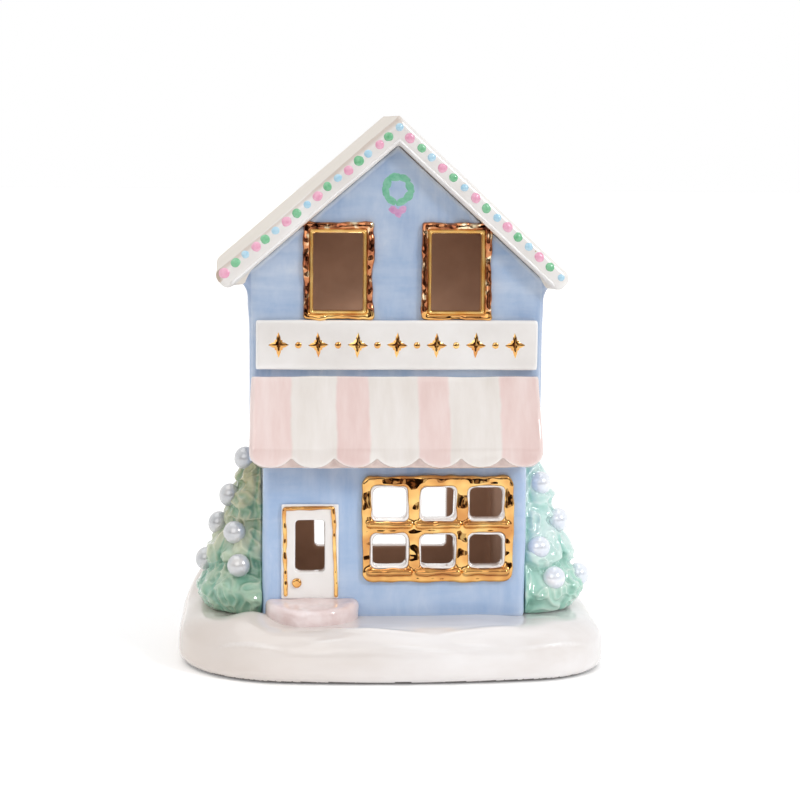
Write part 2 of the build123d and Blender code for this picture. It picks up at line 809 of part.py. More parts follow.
def flame_outline(inset):
    """Half outline of the flame, from its foot to its tip, with its wall inset."""
    rise = flame_tip - inset - flame_foot
    belly = flame_radius - inset
    with BuildSketch(facing(light_y)) as half:
        with BuildLine():
            Polyline((light_x, flame_tip - inset), (light_x, flame_foot), (light_x + belly, flame_foot))
            Line((light_x + belly, flame_foot), (light_x + belly, flame_foot + rise * flame_belly_share))
            Spline(
                (light_x + belly, flame_foot + rise * flame_belly_share),
                (light_x + belly * flame_waist_width_share, flame_foot + rise * flame_waist_share),
                (light_x, flame_tip - inset),
            )
        make_face()
    return half.sketch


with BuildPart() as tealight_flame:
    add(flame_outline(0))
    revolve(axis=Axis((light_x, light_y, 0), (0, 0, 1)))
    with Locations((light_x, light_y, flame_foot)):
        Cylinder(flame_radius + flame_flange, flame_flange, align=(Align.CENTER, Align.CENTER, Align.MIN))
    add(flame_outline(flame_wall))
    revolve(axis=Axis((light_x, light_y, 0), (0, 0, 1)), mode=Mode.SUBTRACT)

knob_bottom = plate_bottom - switch_drop
with BuildPart() as tealight_switch:
    with Locations((light_x, switch_y, knob_bottom)):
        Box(
            switch_length,
            switch_width,
            plate_thickness + switch_drop + fit_gap,
            align=(Align.CENTER, Align.CENTER, Align.MIN),
        )
    with Locations((light_x, switch_y, plate_top + fit_gap)):
        Box(
            switch_length + 2 * switch_flange,
            switch_width + 2 * switch_flange,
            switch_flange,
            align=(Align.CENTER, Align.CENTER, Align.MIN),
        )

os.makedirs("parts", exist_ok=True)
pieces = {
    "snow_base": snow_base,
    "shopfront_wall": shopfront_wall,
    "gable_wall": gable_wall,
    "rear_wall": rear_wall,
    "left_wall": left_wall,
    "right_wall": right_wall,
    "roof": roof,
    "sign_board": sign_board,
    "awning": awning,
    "upper_window_frame_left": upper_window_frame_left,
    "upper_window_frame_right": upper_window_frame_right,
    "shop_window_frame": shop_window_frame,
    "door_panel": door_panel,
    "door_casing": door_casing,
    "door_knob": door_knob,
    "door_step": door_step,
    "tree_left": tree_left,
    "tree_right": tree_right,
    "tree_pearls_left": tree_pearls_left,
    "tree_pearls_right": tree_pearls_right,
    "tealight_cup": tealight_cup,
    "tealight_base_plate": tealight_base_plate,
    "tealight_battery_door": tealight_battery_door,
    "tealight_coin_cell": tealight_coin_cell,
    "tealight_contacts": tealight_contacts,
    "tealight_led": tealight_led,
    "tealight_flame": tealight_flame,
    "tealight_switch": tealight_switch,
}
for label, piece in pieces.items():
    piece.part.label = label
    export_step(piece.part, f"parts/{label}.step")
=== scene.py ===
import random
from math import cos, dist, pi, radians, sin, sqrt

import bmesh
import bpy
import numpy as np
from mathutils import Matrix, Vector, noise
from mathutils.bvhtree import BVHTree


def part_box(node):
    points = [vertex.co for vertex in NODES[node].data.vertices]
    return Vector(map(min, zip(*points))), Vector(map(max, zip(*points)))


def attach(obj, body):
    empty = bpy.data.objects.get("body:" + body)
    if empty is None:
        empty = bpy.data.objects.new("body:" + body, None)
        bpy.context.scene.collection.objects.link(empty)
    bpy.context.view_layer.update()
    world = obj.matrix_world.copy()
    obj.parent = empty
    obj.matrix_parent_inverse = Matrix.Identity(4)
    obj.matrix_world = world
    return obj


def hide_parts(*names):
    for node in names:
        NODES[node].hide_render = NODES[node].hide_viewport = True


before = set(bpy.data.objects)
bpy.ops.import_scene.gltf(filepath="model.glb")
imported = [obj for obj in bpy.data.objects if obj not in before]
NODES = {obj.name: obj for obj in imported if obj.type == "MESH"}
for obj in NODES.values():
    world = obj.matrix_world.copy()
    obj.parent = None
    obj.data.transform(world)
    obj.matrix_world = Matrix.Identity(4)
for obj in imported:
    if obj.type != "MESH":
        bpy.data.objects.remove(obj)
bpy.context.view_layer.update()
MM = 0.001
rng = random.Random(11)


def end_of(node, axis, end):
    """Low end (0) or high end (1) of a CAD node's box along an axis, in millimetres."""
    return round(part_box(node)[end]["XYZ".index(axis)] / MM, 3)


# Places taken from the frame, in millimetres
FRONT = end_of("gable_wall", "Y", 0)
BACK = end_of("rear_wall", "Y", 1)
WALL = end_of("gable_wall", "Y", 1) - FRONT
LOWER_HALF = end_of("shopfront_wall", "X", 1)
UPPER_HALF = end_of("gable_wall", "X", 1)
SNOW = end_of("rear_wall", "Z", 0)
JETTY = end_of("gable_wall", "Z", 0)
VERGE = end_of("roof", "Y", 0)
RIDGE = end_of("roof", "Z", 1)

# Sizes shared with the solids, in millimetres. Side -1 is the left and 1 the right
UPPER_RISE = RIDGE - JETTY
EAVE_DROP_SHARE = {-1: 0.4549, 1: 0.4606}
ROOF_DROP_SHARE = 0.0825
SPAN = {-1: 60.5, 1: 57.5}  # the roof's reach before its eaves are rounded
SLOPE = {side: UPPER_RISE * EAVE_DROP_SHARE[side] / SPAN[side] for side in (-1, 1)}
ROOF_DROP = UPPER_RISE * ROOF_DROP_SHARE
TREE_Y = -9.0
TREE_RADIUS = 24.0
TREE_HEIGHT = 68.0
PEARL_RADIUS = 4.0
PANE_PITCH = (16.1, 15.9)
SHOP_WINDOW = (14.2, 48.25)
PANES = [
    (SHOP_WINDOW[0] + PANE_PITCH[0] * i, SHOP_WINDOW[1] + PANE_PITCH[1] * j)
    for i in (-1, 0, 1) for j in (-0.5, 0.5)
]

# Each pearl: its share of the tree's height, and its bearing from the side towards the front
PEARLS = {
    -1: [
        (0.750, 29.0), (0.562, 9.5), (0.415, -3.5), (0.397, 52.0), (0.235, -2.5), (0.245, 65.0),
        (0.560, -52.0), (0.250, -46.0),
    ],
    1: [
        (0.630, 46.5), (0.440, 22.0), (0.327, 72.0), (0.178, 59.5), (0.154, 5.0),
        (0.560, -48.0), (0.380, -30.0), (0.230, -58.0),
    ],
}

# Skin of each softened piece: its grain in millimetres, and rounds of smoothing
SKIN = {
    "shell": (0.7, 5), "roof": (0.65, 10), "sign_board": (0.45, 14), "awning": (0.45, 4),
    "door_step": (0.4, 22), "door_panel": (0.28, 3), "shop_window_frame": (0.30, 5), "door_knob": (0.16, 4),
    "snow_base": (0.9, 8), "tree_left": (0.45, 24), "tree_right": (0.45, 24),
}

# Hand-made waves on each piece: height and length in millimetres, and a shift of the noise
WAVES = {
    "shell": [(0.30, 30.0, 1.0), (0.12, 9.0, 5.0)],
    "roof": [(0.35, 26.0, 2.0), (0.10, 8.0, 7.0)],
    "sign_board": [(0.22, 18.0, 3.0), (0.06, 6.0, 9.0)],
    "awning": [(0.35, 16.0, 4.0), (0.10, 5.0, 2.0)],
    "door_step": [(0.5, 9.0, 6.0), (0.2, 4.0, 2.0)],
    "door_panel": [(0.10, 6.0, 3.0)],
    "upper_window": [(0.95, 5.6, 2.0), (0.30, 2.4, 8.0), (0.36, 11.0, 4.0)],
    "shop_window_frame": [(0.60, 6.5, 2.0), (0.26, 3.0, 8.0), (0.38, 14.0, 4.0)],
    "door_knob": [(0.12, 2.4, 2.0)],
    "rims": [(0.18, 5.0, 3.0)],
    "snow_base": [(1.3, 38.0, 3.3), (0.5, 17.0, 1.7)],
}

EVEN = 0.5  # mark of glaze that neither thins nor pools
BREAK_SHARE = 0.7  # how much of the paint gives way
PINHOLE_PITCH = 9.0
BLACK = (0, 0, 0)
WHITE = (255, 255, 255)
TAN = (196, 168, 146)


# Shader nodes
def linear(colour):
    """Linear colour of three sRGB values in 0 to 255. Four values are linear already."""
    if len(colour) == 4:
        return colour
    shares = [value / 255.0 for value in colour]
    return (*(c / 12.92 if c <= 0.04045 else ((c + 0.055) / 1.055) ** 2.4 for c in shares), 1.0)


class Graph:
    """The shader nodes of one material, or of the world."""

    def __init__(self, owner):
        owner.use_nodes = True
        self.tree = owner.node_tree
        self.tree.nodes.clear()

    def plug(self, socket, source):
        """Links a socket to another node, or sets it to a constant."""
        if isinstance(source, bpy.types.NodeSocket):
            self.tree.links.new(source, socket)
        else:
            socket.default_value = linear(source) if socket.type == "RGBA" else source

    def fill(self, node, **inputs):
        """Plugs a node's inputs by name, with underscores for spaces."""
        for key, source in inputs.items():
            self.plug(node.inputs[key.replace("_", " ")], source)
        return node

    def add(self, kind, **inputs):
        return self.fill(self.tree.nodes.new("ShaderNode" + kind), **inputs)

    def ramp(self, value, stops):
        """A run of colours: each stop is (value, colour)."""
        node = self.add("ValToRGB", Fac=value)
        parts = node.color_ramp.elements
        while len(parts) < len(stops):
            parts.new(0.5)
        for part, (position, colour) in zip(parts, stops):
            part.position = position
            part.color = linear(colour)
        return node.outputs["Color"]

    def span(self, value, low, high, start=0.3, end=0.7):
        """Low up to the start, high from the end on."""
        limits = {"From_Min": start, "From_Max": end, "To_Min": low, "To_Max": high}
        return self.add("MapRange", Value=value, **limits).outputs["Result"]

    def calc(self, operation, *values, clamp=False):
        node = self.add("Math")
        node.operation = operation
        node.use_clamp = clamp
        for socket, value in zip(node.inputs, values):
            self.plug(socket, value)
        return node.outputs["Value"]


class Look(Graph):
    """A material with its shader and the part's own coordinates."""

    def __init__(self, name):
        self.mat = bpy.data.materials.new(name)
        super().__init__(self.mat)
        self.shader = self.add("BsdfPrincipled")
        self.add("OutputMaterial", Surface=self.shader.outputs["BSDF"])
        self.coords = self.add("TexCoord").outputs["Object"]

    def set(self, **inputs):
        self.fill(self.shader, **inputs)
        return self

    def axis(self, name):
        return self.add("SeparateXYZ", Vector=self.coords).outputs[name]

    def along(self, axis, low, high, start, end):
        """A span between two places along an axis of the part, in millimetres."""
        return self.span(self.axis(axis), low, high, start * MM, end * MM)

    def mark(self, name):
        """A value that the mesh carries at each point."""
        node = self.add("Attribute")
        node.attribute_name = name
        return node.outputs["Fac"]

    def noise(self, size, stretch=(1, 1, 1), detail=3.0, rough=0.55, shift=0.0):
        """Noise whose blotches are about size millimetres across."""
        place = (shift, shift * 0.7, shift * 1.3)
        spot = self.add("Mapping", Vector=self.coords, Scale=stretch, Location=place).outputs[0]
        scale = 1.0 / (size * MM)
        return self.add("TexNoise", Vector=spot, Scale=scale, Detail=detail, Roughness=rough).outputs["Fac"]

    def mix(self, factor, a, b, kind="MIX"):
        node = self.add("Mix")
        node.data_type = "RGBA"
        node.blend_type = kind
        for index, source in ((0, factor), (6, a), (7, b)):
            self.plug(node.inputs[index], source)
        return node.outputs[2]

    def edges(self, paint, thin_and_highlight, pooled_and_shade):
        """The paint, paler on edges where glaze thins and darker in corners where it pools; these tints also
        paint in edge highlights and corner shade.
        """
        depth = self.mark("depth")
        # over pales the convex edges (thin glaze and painted highlight), under darkens the corners (pooled
        # glaze and painted shade)
        over = self.span(depth, 0.0, BREAK_SHARE, 0.57, 0.80)
        under = self.span(depth, BREAK_SHARE, 0.0, 0.18, 0.42)
        return self.mix(under, self.mix(over, paint, thin_and_highlight), pooled_and_shade)

    def bump(self, source, height, strength):
        node = self.add("Bump", Height=source, Strength=strength, Distance=height * MM)
        return self.set(Normal=node.outputs["Normal"])


def pinholes(look, paint):
    """The paint, with tan pinholes scattered through the glaze."""
    scale = 1.0 / (PINHOLE_PITCH * MM)
    cells = look.add("TexVoronoi", Vector=look.coords, Scale=scale, Randomness=1.0).outputs
    spot = look.ramp(cells["Distance"], [(0.022, WHITE), (0.034, BLACK)])
    some = look.ramp(cells["Color"], [(0.55, BLACK), (0.6, WHITE)])
    return look.mix(look.mix(1.0, spot, some, "MULTIPLY"), paint, TAN)


def gloss(look, shift=0.0, coat=0.6):
    """Clear glaze with slow waves in it."""
    look.set(Roughness=look.span(look.noise(9.0, shift=shift + 3), 0.09, 0.19))
    look.bump(look.noise(7.0, detail=0.5, shift=shift + 5), 0.06, 0.35)
    return look.set(IOR=1.5, Coat_Weight=coat, Coat_Roughness=0.05)


def glaze(name, stops, size, shift=0.0, breaks_and_shade=None):
    """Brushed colour under a clear gloss. Breaks are the colours of thin and of pooled glaze, which also
    stand in for painted highlights on edges and painted shade in corners.
    """
    look = Look(name)
    paint = look.ramp(look.noise(size, detail=4.0, rough=0.6, shift=shift), stops)
    if breaks_and_shade is not None:
        paint = look.edges(paint, *breaks_and_shade)
    look.set(Base_Color=paint)
    return gloss(look, shift)


def mottled(name, stops, size, sheen, sheen_size, sheen_shift=0.0, **blotches):
    """Uneven colour with an uneven sheen."""
    look = Look(name)
    paint = look.ramp(look.noise(size, **blotches), stops)
    return look.set(Base_Color=paint, Roughness=look.span(look.noise(sheen_size, shift=sheen_shift), *sheen))


# Glazes
WHITE_STOPS = [(0.25, (224, 220, 217)), (0.5, (234, 231, 229)), (0.78, (242, 241, 241))]
PINK_STOPS = [(0.28, (218, 196, 194)), (0.5, (230, 213, 212)), (0.75, (239, 228, 228))]
white = glaze("white_glaze", WHITE_STOPS, 26.0, breaks_and_shade=((249, 249, 250), (206, 198, 194)))
pink = glaze("pink_glaze", PINK_STOPS, 7.0, 1, ((246, 240, 241), (204, 176, 174)))
# the recess between the scallops is tinted darker: painted shade
scallop_gap_shade = glaze("awning_gap_shade", [(0.3, (206, 186, 180)), (0.7, (228, 210, 204))], 4.0, 5)
dot_pink = glaze("dot_pink", [(0.3, (230, 152, 184)), (0.7, (240, 186, 208))], 2.0)
dot_green = glaze("dot_green", [(0.3, (98, 180, 128)), (0.7, (146, 208, 168))], 2.0, 1)
dot_blue = glaze("dot_blue", [(0.3, (156, 204, 230)), (0.7, (190, 222, 238))], 2.0, 2)
wreath_green = glaze("wreath_green", [(0.3, (104, 178, 146)), (0.7, (142, 200, 174))], 2.2, 3)
bow_pink = glaze("bow_pink", [(0.3, (196, 138, 184)), (0.7, (214, 170, 206))], 2.2, 4)


def roof_glaze():
    """Glossy in front, satin on the slopes with warm painted shade, brown where it breaks over the left top
    edge.
    """
    look = Look("roof_white_glaze")
    paint = look.ramp(look.noise(22.0, detail=4.0, rough=0.6, shift=4), WHITE_STOPS)
    # painted shade: the slopes are tinted warm beige, as they lie in shade
    paint = look.mix(look.along("Y", 0.0, 0.8, VERGE + 0.6, VERGE + 3.0), paint, (228, 220, 209))
    broken = look.mix(look.along("X", 0.0, 1.0, -2.0, 2.0), (178, 150, 126), (236, 233, 230))
    paint = look.mix(look.span(look.mark("depth"), 0.0, 0.8, 0.57, 0.68), paint, broken)
    return look.set(
        Base_Color=pinholes(look, paint), IOR=1.4, Coat_Roughness=0.05,
        Roughness=look.along("Y", 0.14, 0.55, VERGE + 0.4, VERGE + 3.0),
        Coat_Weight=look.along("Y", 0.4, 0.0, VERGE + 0.4, VERGE + 3.0),
    )


def snow_glaze():
    """White with painted shade that turns it beige to the left, paler on edges and darker in corners."""
    look = Look("snow_white_glaze")
    drift = look.ramp(
        look.noise(22.0, (0.35, 1.0, 1.0), 4.0, 0.6, 2),
        [(0.22, (215, 208, 204)), (0.45, (227, 223, 222)), (0.75, (238, 237, 239))],
    )
    # painted shade: beige towards the left side, away from the light
    drift = look.mix(look.along("X", 0.85, 0.0, -74.0, 6.0), drift, (210, 197, 187))
    look.set(Base_Color=pinholes(look, look.edges(drift, (250, 250, 251), (206, 193, 184))))
    return gloss(look, 2, 0.4)


def blue_glaze():
    """Two layers of watery brushwork, paler on edges and deeper in corners, bluer below, with painted shade
    on the upper flanks.
    """
    look = Look("blue_glaze")
    wash = look.ramp(
        look.noise(15.0, (1.0, 1.0, 0.6), 5.0, 0.66),
        [(0.32, (138, 165, 204)), (0.45, (161, 184, 215)), (0.57, (181, 198, 222)), (0.69, (213, 220, 231))],
    )
    strokes = look.ramp(
        look.noise(5.0, (1.0, 1.0, 0.14), 4.0, 0.6, 6.0),
        [(0.32, (142, 169, 207)), (0.68, (204, 215, 230))],
    )
    sweep = look.ramp(
        look.noise(6.0, (0.16, 1.0, 1.0), 4.0, 0.6, 9.0),
        [(0.32, (144, 171, 208)), (0.68, (206, 216, 230))],
    )
    brushed = look.mix(look.span(look.noise(30.0, shift=12), 0.0, 1.0, 0.42, 0.58), strokes, sweep)
    paint = look.edges(look.mix(0.5, wash, brushed), (228, 233, 241), (128, 157, 200))
    paint = look.mix(look.along("Z", 0.32, 0.0, JETTY - 8.0, JETTY), paint, (146, 182, 228))
    out = look.calc("ABSOLUTE", look.axis("X"))
    # painted shade: the side walls under the eaves are darkened
    flank_shade = look.span(out, 0.0, 1.0, (UPPER_HALF - 0.7) * MM, (UPPER_HALF - 0.2) * MM)
    look.set(Base_Color=look.mix(flank_shade, paint, (218, 224, 236), "MULTIPLY"))
    return gloss(look)


STRIPES = [-34.9, -20.0, -9.3, 6.8, 17.0, 33.9]  # where one stripe ends and the next begins
STRIPE_REACH = 50.0
STRIPE_WANDER = 0.35
STRIPE_BLUR_SHARE = 0.0035


def awning_glaze():
    """Hand-painted stripes, their edges wandering a little."""
    look = Look("awning_glaze")
    wander = look.span(look.noise(9.0, shift=8), -STRIPE_WANDER * MM, STRIPE_WANDER * MM)
    moved = look.calc("ADD", look.axis("X"), wander)
    across = look.span(moved, 0.0, 1.0, -STRIPE_REACH * MM, STRIPE_REACH * MM)
    stops = [(0.0, WHITE)]
    for index, edge in enumerate(STRIPES):
        before, after = (WHITE, BLACK) if index % 2 == 0 else (BLACK, WHITE)
        share = (edge + STRIPE_REACH) / (2 * STRIPE_REACH)
        stops += [(share - STRIPE_BLUR_SHARE, before), (share + STRIPE_BLUR_SHARE, after)]
    rose = look.ramp(
        look.noise(6.0, (1.0, 0.22, 0.22), 4.0, 0.6),
        [(0.26, (222, 194, 190)), (0.5, (229, 206, 202)), (0.76, (236, 219, 216))],
    )
    cream = look.ramp(
        look.noise(6.0, (1.0, 0.22, 0.22), 4.0, 0.6, 4.0),
        [(0.28, (222, 215, 209)), (0.72, (234, 229, 226))],
    )
    striped = look.mix(look.ramp(across, stops), cream, rose)
    look.set(Base_Color=pinholes(look, look.edges(striped, (246, 243, 241), (206, 190, 184))))
    return gloss(look)


def tree_glaze(name, deep, dark, mid, pale, crown_reflection, root):
    """Painted shade deep under the hems, pale on the ridges. Crown paints a reflection of the brown room on
    the top, and root tints the bottom.
    """
    look = Look(name)
    tone = look.ramp(look.mark("fold_and_shade"), [(0.04, deep), (0.30, dark), (0.56, mid), (0.74, mid), (0.95, pale)])
    cloud = look.ramp(look.noise(7.0), [(0.35, dark), (0.65, mid)])
    paint = look.mix(0.3, tone, cloud)
    # crown_reflection: a painted reflection of the room on the upper part
    paint = look.mix(look.along("Z", 0.0, 1.0, SNOW + 22.0, SNOW + 44.0), paint, crown_reflection, "MULTIPLY")
    paint = look.mix(look.along("Z", 1.0, 0.0, SNOW + 8.0, SNOW + 24.0), paint, root, "MULTIPLY")
    look.set(Base_Color=paint, Roughness=look.span(look.noise(6.0, shift=3), 0.06, 0.16))
    look.bump(look.noise(2.2, shift=6), 0.12, 0.4)
    return look.set(IOR=1.5, Coat_Weight=0.8, Coat_Roughness=0.04)


roof_white = roof_glaze()
snow = snow_glaze()
blue = blue_glaze()
awning_look = awning_glaze()
# one green glaze in two copies: olive and darker for the left tree, which lies in shade, and mint and lighter
# for the right tree in the light
tree_shaded_olive = tree_glaze(
    "tree_green_glaze", deep=(74, 130, 110), dark=(124, 170, 146), mid=(190, 196, 170),
    pale=(232, 228, 204), crown_reflection=(248, 230, 206), root=(224, 252, 255),
)
tree_lit_mint = tree_glaze(
    "tree_green_glaze_lit", deep=(112, 178, 164), dark=(164, 214, 205), mid=(214, 234, 231),
    pale=(246, 247, 246), crown_reflection=(255, 255, 255), root=(250, 250, 240),
)

# Bare clay, gold, pearl and plastic
# bare clay inside, its brown deepened to paint in the shade inside the house
bisque_shaded = mottled("bisque_inside_shaded", [(0.3, (158, 130, 112)), (0.7, (180, 150, 130))], 16.0, (0.7, 0.9), 4.0, 2)
bisque_shaded.bump(bisque_shaded.noise(1.4), 0.05, 0.4)
# the dark grey of the foot is a painted contact shadow under the base
foot_contact_shadow = mottled("unglazed_foot_contact_shadow", [(0.3, (84, 80, 80)), (0.7, (106, 100, 98))], 6.0, (0.7, 0.9), 2.0)

GOLD_STOPS = [(0.3, (210, 148, 88)), (0.5, (229, 174, 104)), (0.72, (248, 206, 132))]
# coppery thin lustre, with near-black painted reflections and pale painted glints among its stops
THIN_GOLD_AND_GLINT_STOPS = [
    (0.32, (62, 30, 22)), (0.43, (172, 104, 72)), (0.58, (208, 142, 98)), (0.66, (255, 238, 200)),
]
# the lip's pale, partly matte gold is brightened to paint in the reflections it catches
PALE_GOLD_REFLECTION_STOPS = [(0.3, (244, 186, 92)), (0.7, (255, 220, 140))]
gold = mottled("gold_lustre", GOLD_STOPS, 6.0, (0.02, 0.06), 3.0, 3, detail=1.0)
gold.set(Metallic=1.0)
gold_thin_and_glints = mottled(
    "gold_lustre_thin_glints", THIN_GOLD_AND_GLINT_STOPS, 4.2, (0.02, 0.07), 3.0, 3, detail=2.5, rough=0.6, shift=7
)
gold_thin_and_glints.set(Metallic=1.0)
gold_pale_reflection = mottled("gold_lustre_pale_reflection", PALE_GOLD_REFLECTION_STOPS, 5.0, (0.03, 0.08), 3.0, 3, detail=1.0, shift=5)
gold_pale_reflection.set(Metallic=0.66, Coat_Weight=0.6, Coat_Roughness=0.03)

# one pearl in two copies: greyer for the left tree, which lies in shade, lighter for the right tree in the
# light
PEARL_SHADED_STOPS = [(0.3, (184, 187, 191)), (0.5, (198, 200, 204)), (0.7, (212, 210, 209))]
PEARL_LIT_STOPS = [(0.3, (220, 226, 239)), (0.5, (233, 238, 247)), (0.7, (246, 246, 250))]
pearl_shaded = mottled("pearl", PEARL_SHADED_STOPS, 5.0, (0.16, 0.26), 4.0, 2, detail=1.5)
pearl_lit = mottled("pearl_lit", PEARL_LIT_STOPS, 5.0, (0.16, 0.26), 4.0, 2, detail=1.5)
for pearl in (pearl_shaded, pearl_lit):
    pearl.set(Metallic=0.18, Coat_Weight=1.0, Coat_Roughness=0.02, Coat_IOR=1.8)

plastic = mottled("white_plastic", [(0.3, (226, 224, 218)), (0.7, (240, 239, 235))], 8.0, (0.35, 0.5), 3.0)
dark_plastic = mottled("dark_plastic", [(0.3, (28, 28, 30)), (0.7, (44, 44, 47))], 2.0, (0.4, 0.6), 1.5)
STEEL_STOPS = [(0.3, (170, 170, 174)), (0.7, (206, 206, 208))]
steel = mottled("cell_steel", STEEL_STOPS, 1.2, (0.22, 0.38), 2.0, stretch=(1.0, 12.0, 1.0))
steel.set(Metallic=1.0)
flame = mottled("flame_lens", [(0.3, (246, 214, 150)), (0.7, (252, 238, 206))], 5.0, (0.3, 0.45), 2.0)
flame.set(Transmission_Weight=0.45, IOR=1.45, Subsurface_Weight=0.2, Subsurface_Radius=(0.003, 0.002, 0.001))
epoxy = mottled("led_epoxy", [(0.3, (250, 236, 190)), (0.7, (255, 246, 220))], 2.0, (0.08, 0.16), 1.0)
epoxy.set(Transmission_Weight=0.6, IOR=1.5)


# Meshes
WELD = 2e-6


def linked(name, data):
    obj = bpy.data.objects.new(name, data)
    bpy.context.scene.collection.objects.link(obj)
    return obj


def built(bm, name):
    mesh = bpy.data.meshes.new(name)
    bm.to_mesh(mesh)
    bm.free()
    return mesh


def vert(bm, x, y, z):
    return bm.verts.new((x * MM, y * MM, z * MM))


def cad_copy(node):
    """A welded copy of a CAD node's mesh, as a scratch object."""
    bm = bmesh.new()
    bm.from_mesh(NODES[node].data)
    bmesh.ops.remove_doubles(bm, verts=bm.verts, dist=WELD)
    bmesh.ops.recalc_face_normals(bm, faces=bm.faces)
    return linked("scratch_" + node, built(bm, node))


def tube(bm, rows, name, closed=False):
    """A tube through rows of vertices, with flat ends or closed to a ring."""
    sides = len(rows[0])
    for first, second in zip(rows, rows[1:] + rows[:1] if closed else rows[1:]):
        for i in range(sides):
            n = (i + 1) % sides
            bm.faces.new((first[i], first[n], second[n], second[i]))
    if not closed:
        bm.faces.new(rows[0])
        bm.faces.new(rows[-1][::-1])
    bmesh.ops.recalc_face_normals(bm, faces=bm.faces)
    return built(bm, name)


def prism(outline, ends):
    """A scratch object: an outline of (x, z), drawn out between two depths."""
    bm = bmesh.new()
    rows = [[vert(bm, x, y, z) for x, z in outline] for y in ends]
    return linked("scratch_prism", tube(bm, rows, "prism"))


def baked(obj):
    """Applies a scratch object's modifiers, and removes it."""
    graph = bpy.context.evaluated_depsgraph_get()
    mesh = bpy.data.meshes.new_from_object(obj.evaluated_get(graph))
    old = obj.data
    bpy.data.objects.remove(obj)
    bpy.data.meshes.remove(old)
    return mesh


def union(obj, other):
    step = obj.modifiers.new("union", "BOOLEAN")
    step.operation = "UNION"
    step.solver = "EXACT"
    step.object = other
    mesh = baked(obj)
    bpy.data.objects.remove(other)
    return linked("scratch_union", mesh)


def soften(obj, piece):
    """Even, rounded skin over a scratch object."""
    grain, rounds = SKIN[piece]
    skin = obj.modifiers.new("skin", "REMESH")
    skin.mode = "VOXEL"
    skin.voxel_size = grain * MM
    smooth = obj.modifiers.new("smooth", "SMOOTH")
    smooth.factor = 0.5
    smooth.iterations = rounds
    mesh = baked(obj)
    mesh.materials.clear()
    return mesh


def values_of(items, name):
    """A vector of each vertex or face, as rows."""
    values = np.empty(len(items) * 3)
    items.foreach_get(name, values)
    return values.reshape(-1, 3)


def read(mesh):
    """Points and normals of a mesh, in metres."""
    return values_of(mesh.vertices, "co"), values_of(mesh.vertices, "normal")


def write(mesh, points):
    mesh.vertices.foreach_set("co", points.reshape(-1))
    mesh.update()


def face_centres(mesh):
    """Middle of each face, in millimetres."""
    return values_of(mesh.polygons, "center") / MM


def assign(mesh, marks):
    mesh.polygons.foreach_set("material_index", marks.astype(np.int32))


def fade(value, start, end):
    """0 up to the start, 1 from the end on, and even between them."""
    return np.clip((value - start) / (end - start), 0.0, 1.0)


def between(a, b, share):
    return [p * (1 - share) + q * share for p, q in zip(a, b)]


def field(points, size, shift):
    """Perlin noise at each point, with waves about size millimetres long."""
    scaled = points / (size * MM) + shift
    return np.array([noise.noise(Vector(p)) for p in scaled])


def ripple(mesh, piece, weight=None):
    """Moves a mesh in and out by a piece's waves, times a weight for its points in millimetres."""
    points, normals = read(mesh)
    move = np.zeros(len(points))
    for height, size, shift in WAVES[piece]:
        move += height * MM * field(points, size, shift)
    if weight is not None:
        move *= weight(points / MM)
    write(mesh, points + normals * move[:, None])


def fitted(mesh, node, grow=(0.0, 0.0, 0.0)):
    """Brings a mesh back to the box of its CAD node, grown by the glaze in millimetres."""
    points, _ = read(mesh)
    low, high = (np.array(corner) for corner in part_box(node))
    skin = np.array(grow) * MM
    least, most = points.min(axis=0), points.max(axis=0)
    write(mesh, low - skin + (points - least) / (most - least) * (high - low + 2 * skin))


def glaze_depth(mesh):
    """Marks where glaze thins over an edge, above EVEN, or pools in a corner, below it. The tints it drives
    are partly painted highlight and painted shade.
    """
    points, normals = read(mesh)
    count = len(points)
    ends = np.empty(len(mesh.edges) * 2, dtype=np.int32)
    mesh.edges.foreach_get("vertices", ends)
    a, b = ends.reshape(-1, 2).T
    along = points[b] - points[a]
    along /= np.maximum(np.linalg.norm(along, axis=1), 1e-9)[:, None]
    near = np.bincount(a, minlength=count) + np.bincount(b, minlength=count)
    bend = np.bincount(b, (along * normals[b]).sum(axis=1), count)
    bend -= np.bincount(a, (along * normals[a]).sum(axis=1), count)
    bend /= np.maximum(near, 1)
    for _ in range(2):
        spread = np.bincount(a, bend[b], count) + np.bincount(b, bend[a], count)
        bend = (bend + spread) / (near + 1)
    layer = mesh.attributes.new("depth", "FLOAT", "POINT")
    layer.data.foreach_set("value", np.clip(EVEN + 2.0 * bend, 0.0, 1.0))


def indoors(centres, lower_half, upper_half, low, high):
    """Which faces lie in an inner space of given half widths and depths."""
    x, y, z = centres.T
    reach = np.where(z < JETTY + WALL, lower_half, upper_half)
    return (np.abs(x) < reach) & (y > low) & (y < high)


def in_hole(centres, hole):
    """Which faces lie within a hole, given as (x, z, half width, half height)."""
    x, z, half_wide, half_tall = hole
    return (np.abs(centres[:, 0] - x) < half_wide) & (np.abs(centres[:, 2] - z) < half_tall)


def placed(name, mesh, looks):
    for look in looks:
        mesh.materials.append(look.mat)
    return linked(name, mesh)


def finished(name, mesh, looks, nodes):
    """Shows a mesh as a piece of the house, in place of CAD nodes."""
    mesh.polygons.foreach_set("use_smooth", [True] * len(mesh.polygons))
    mesh.update()
    glaze_depth(mesh)
    obj = placed(name, mesh, looks)
    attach(obj, "house")
    if nodes:
        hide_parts(*nodes)


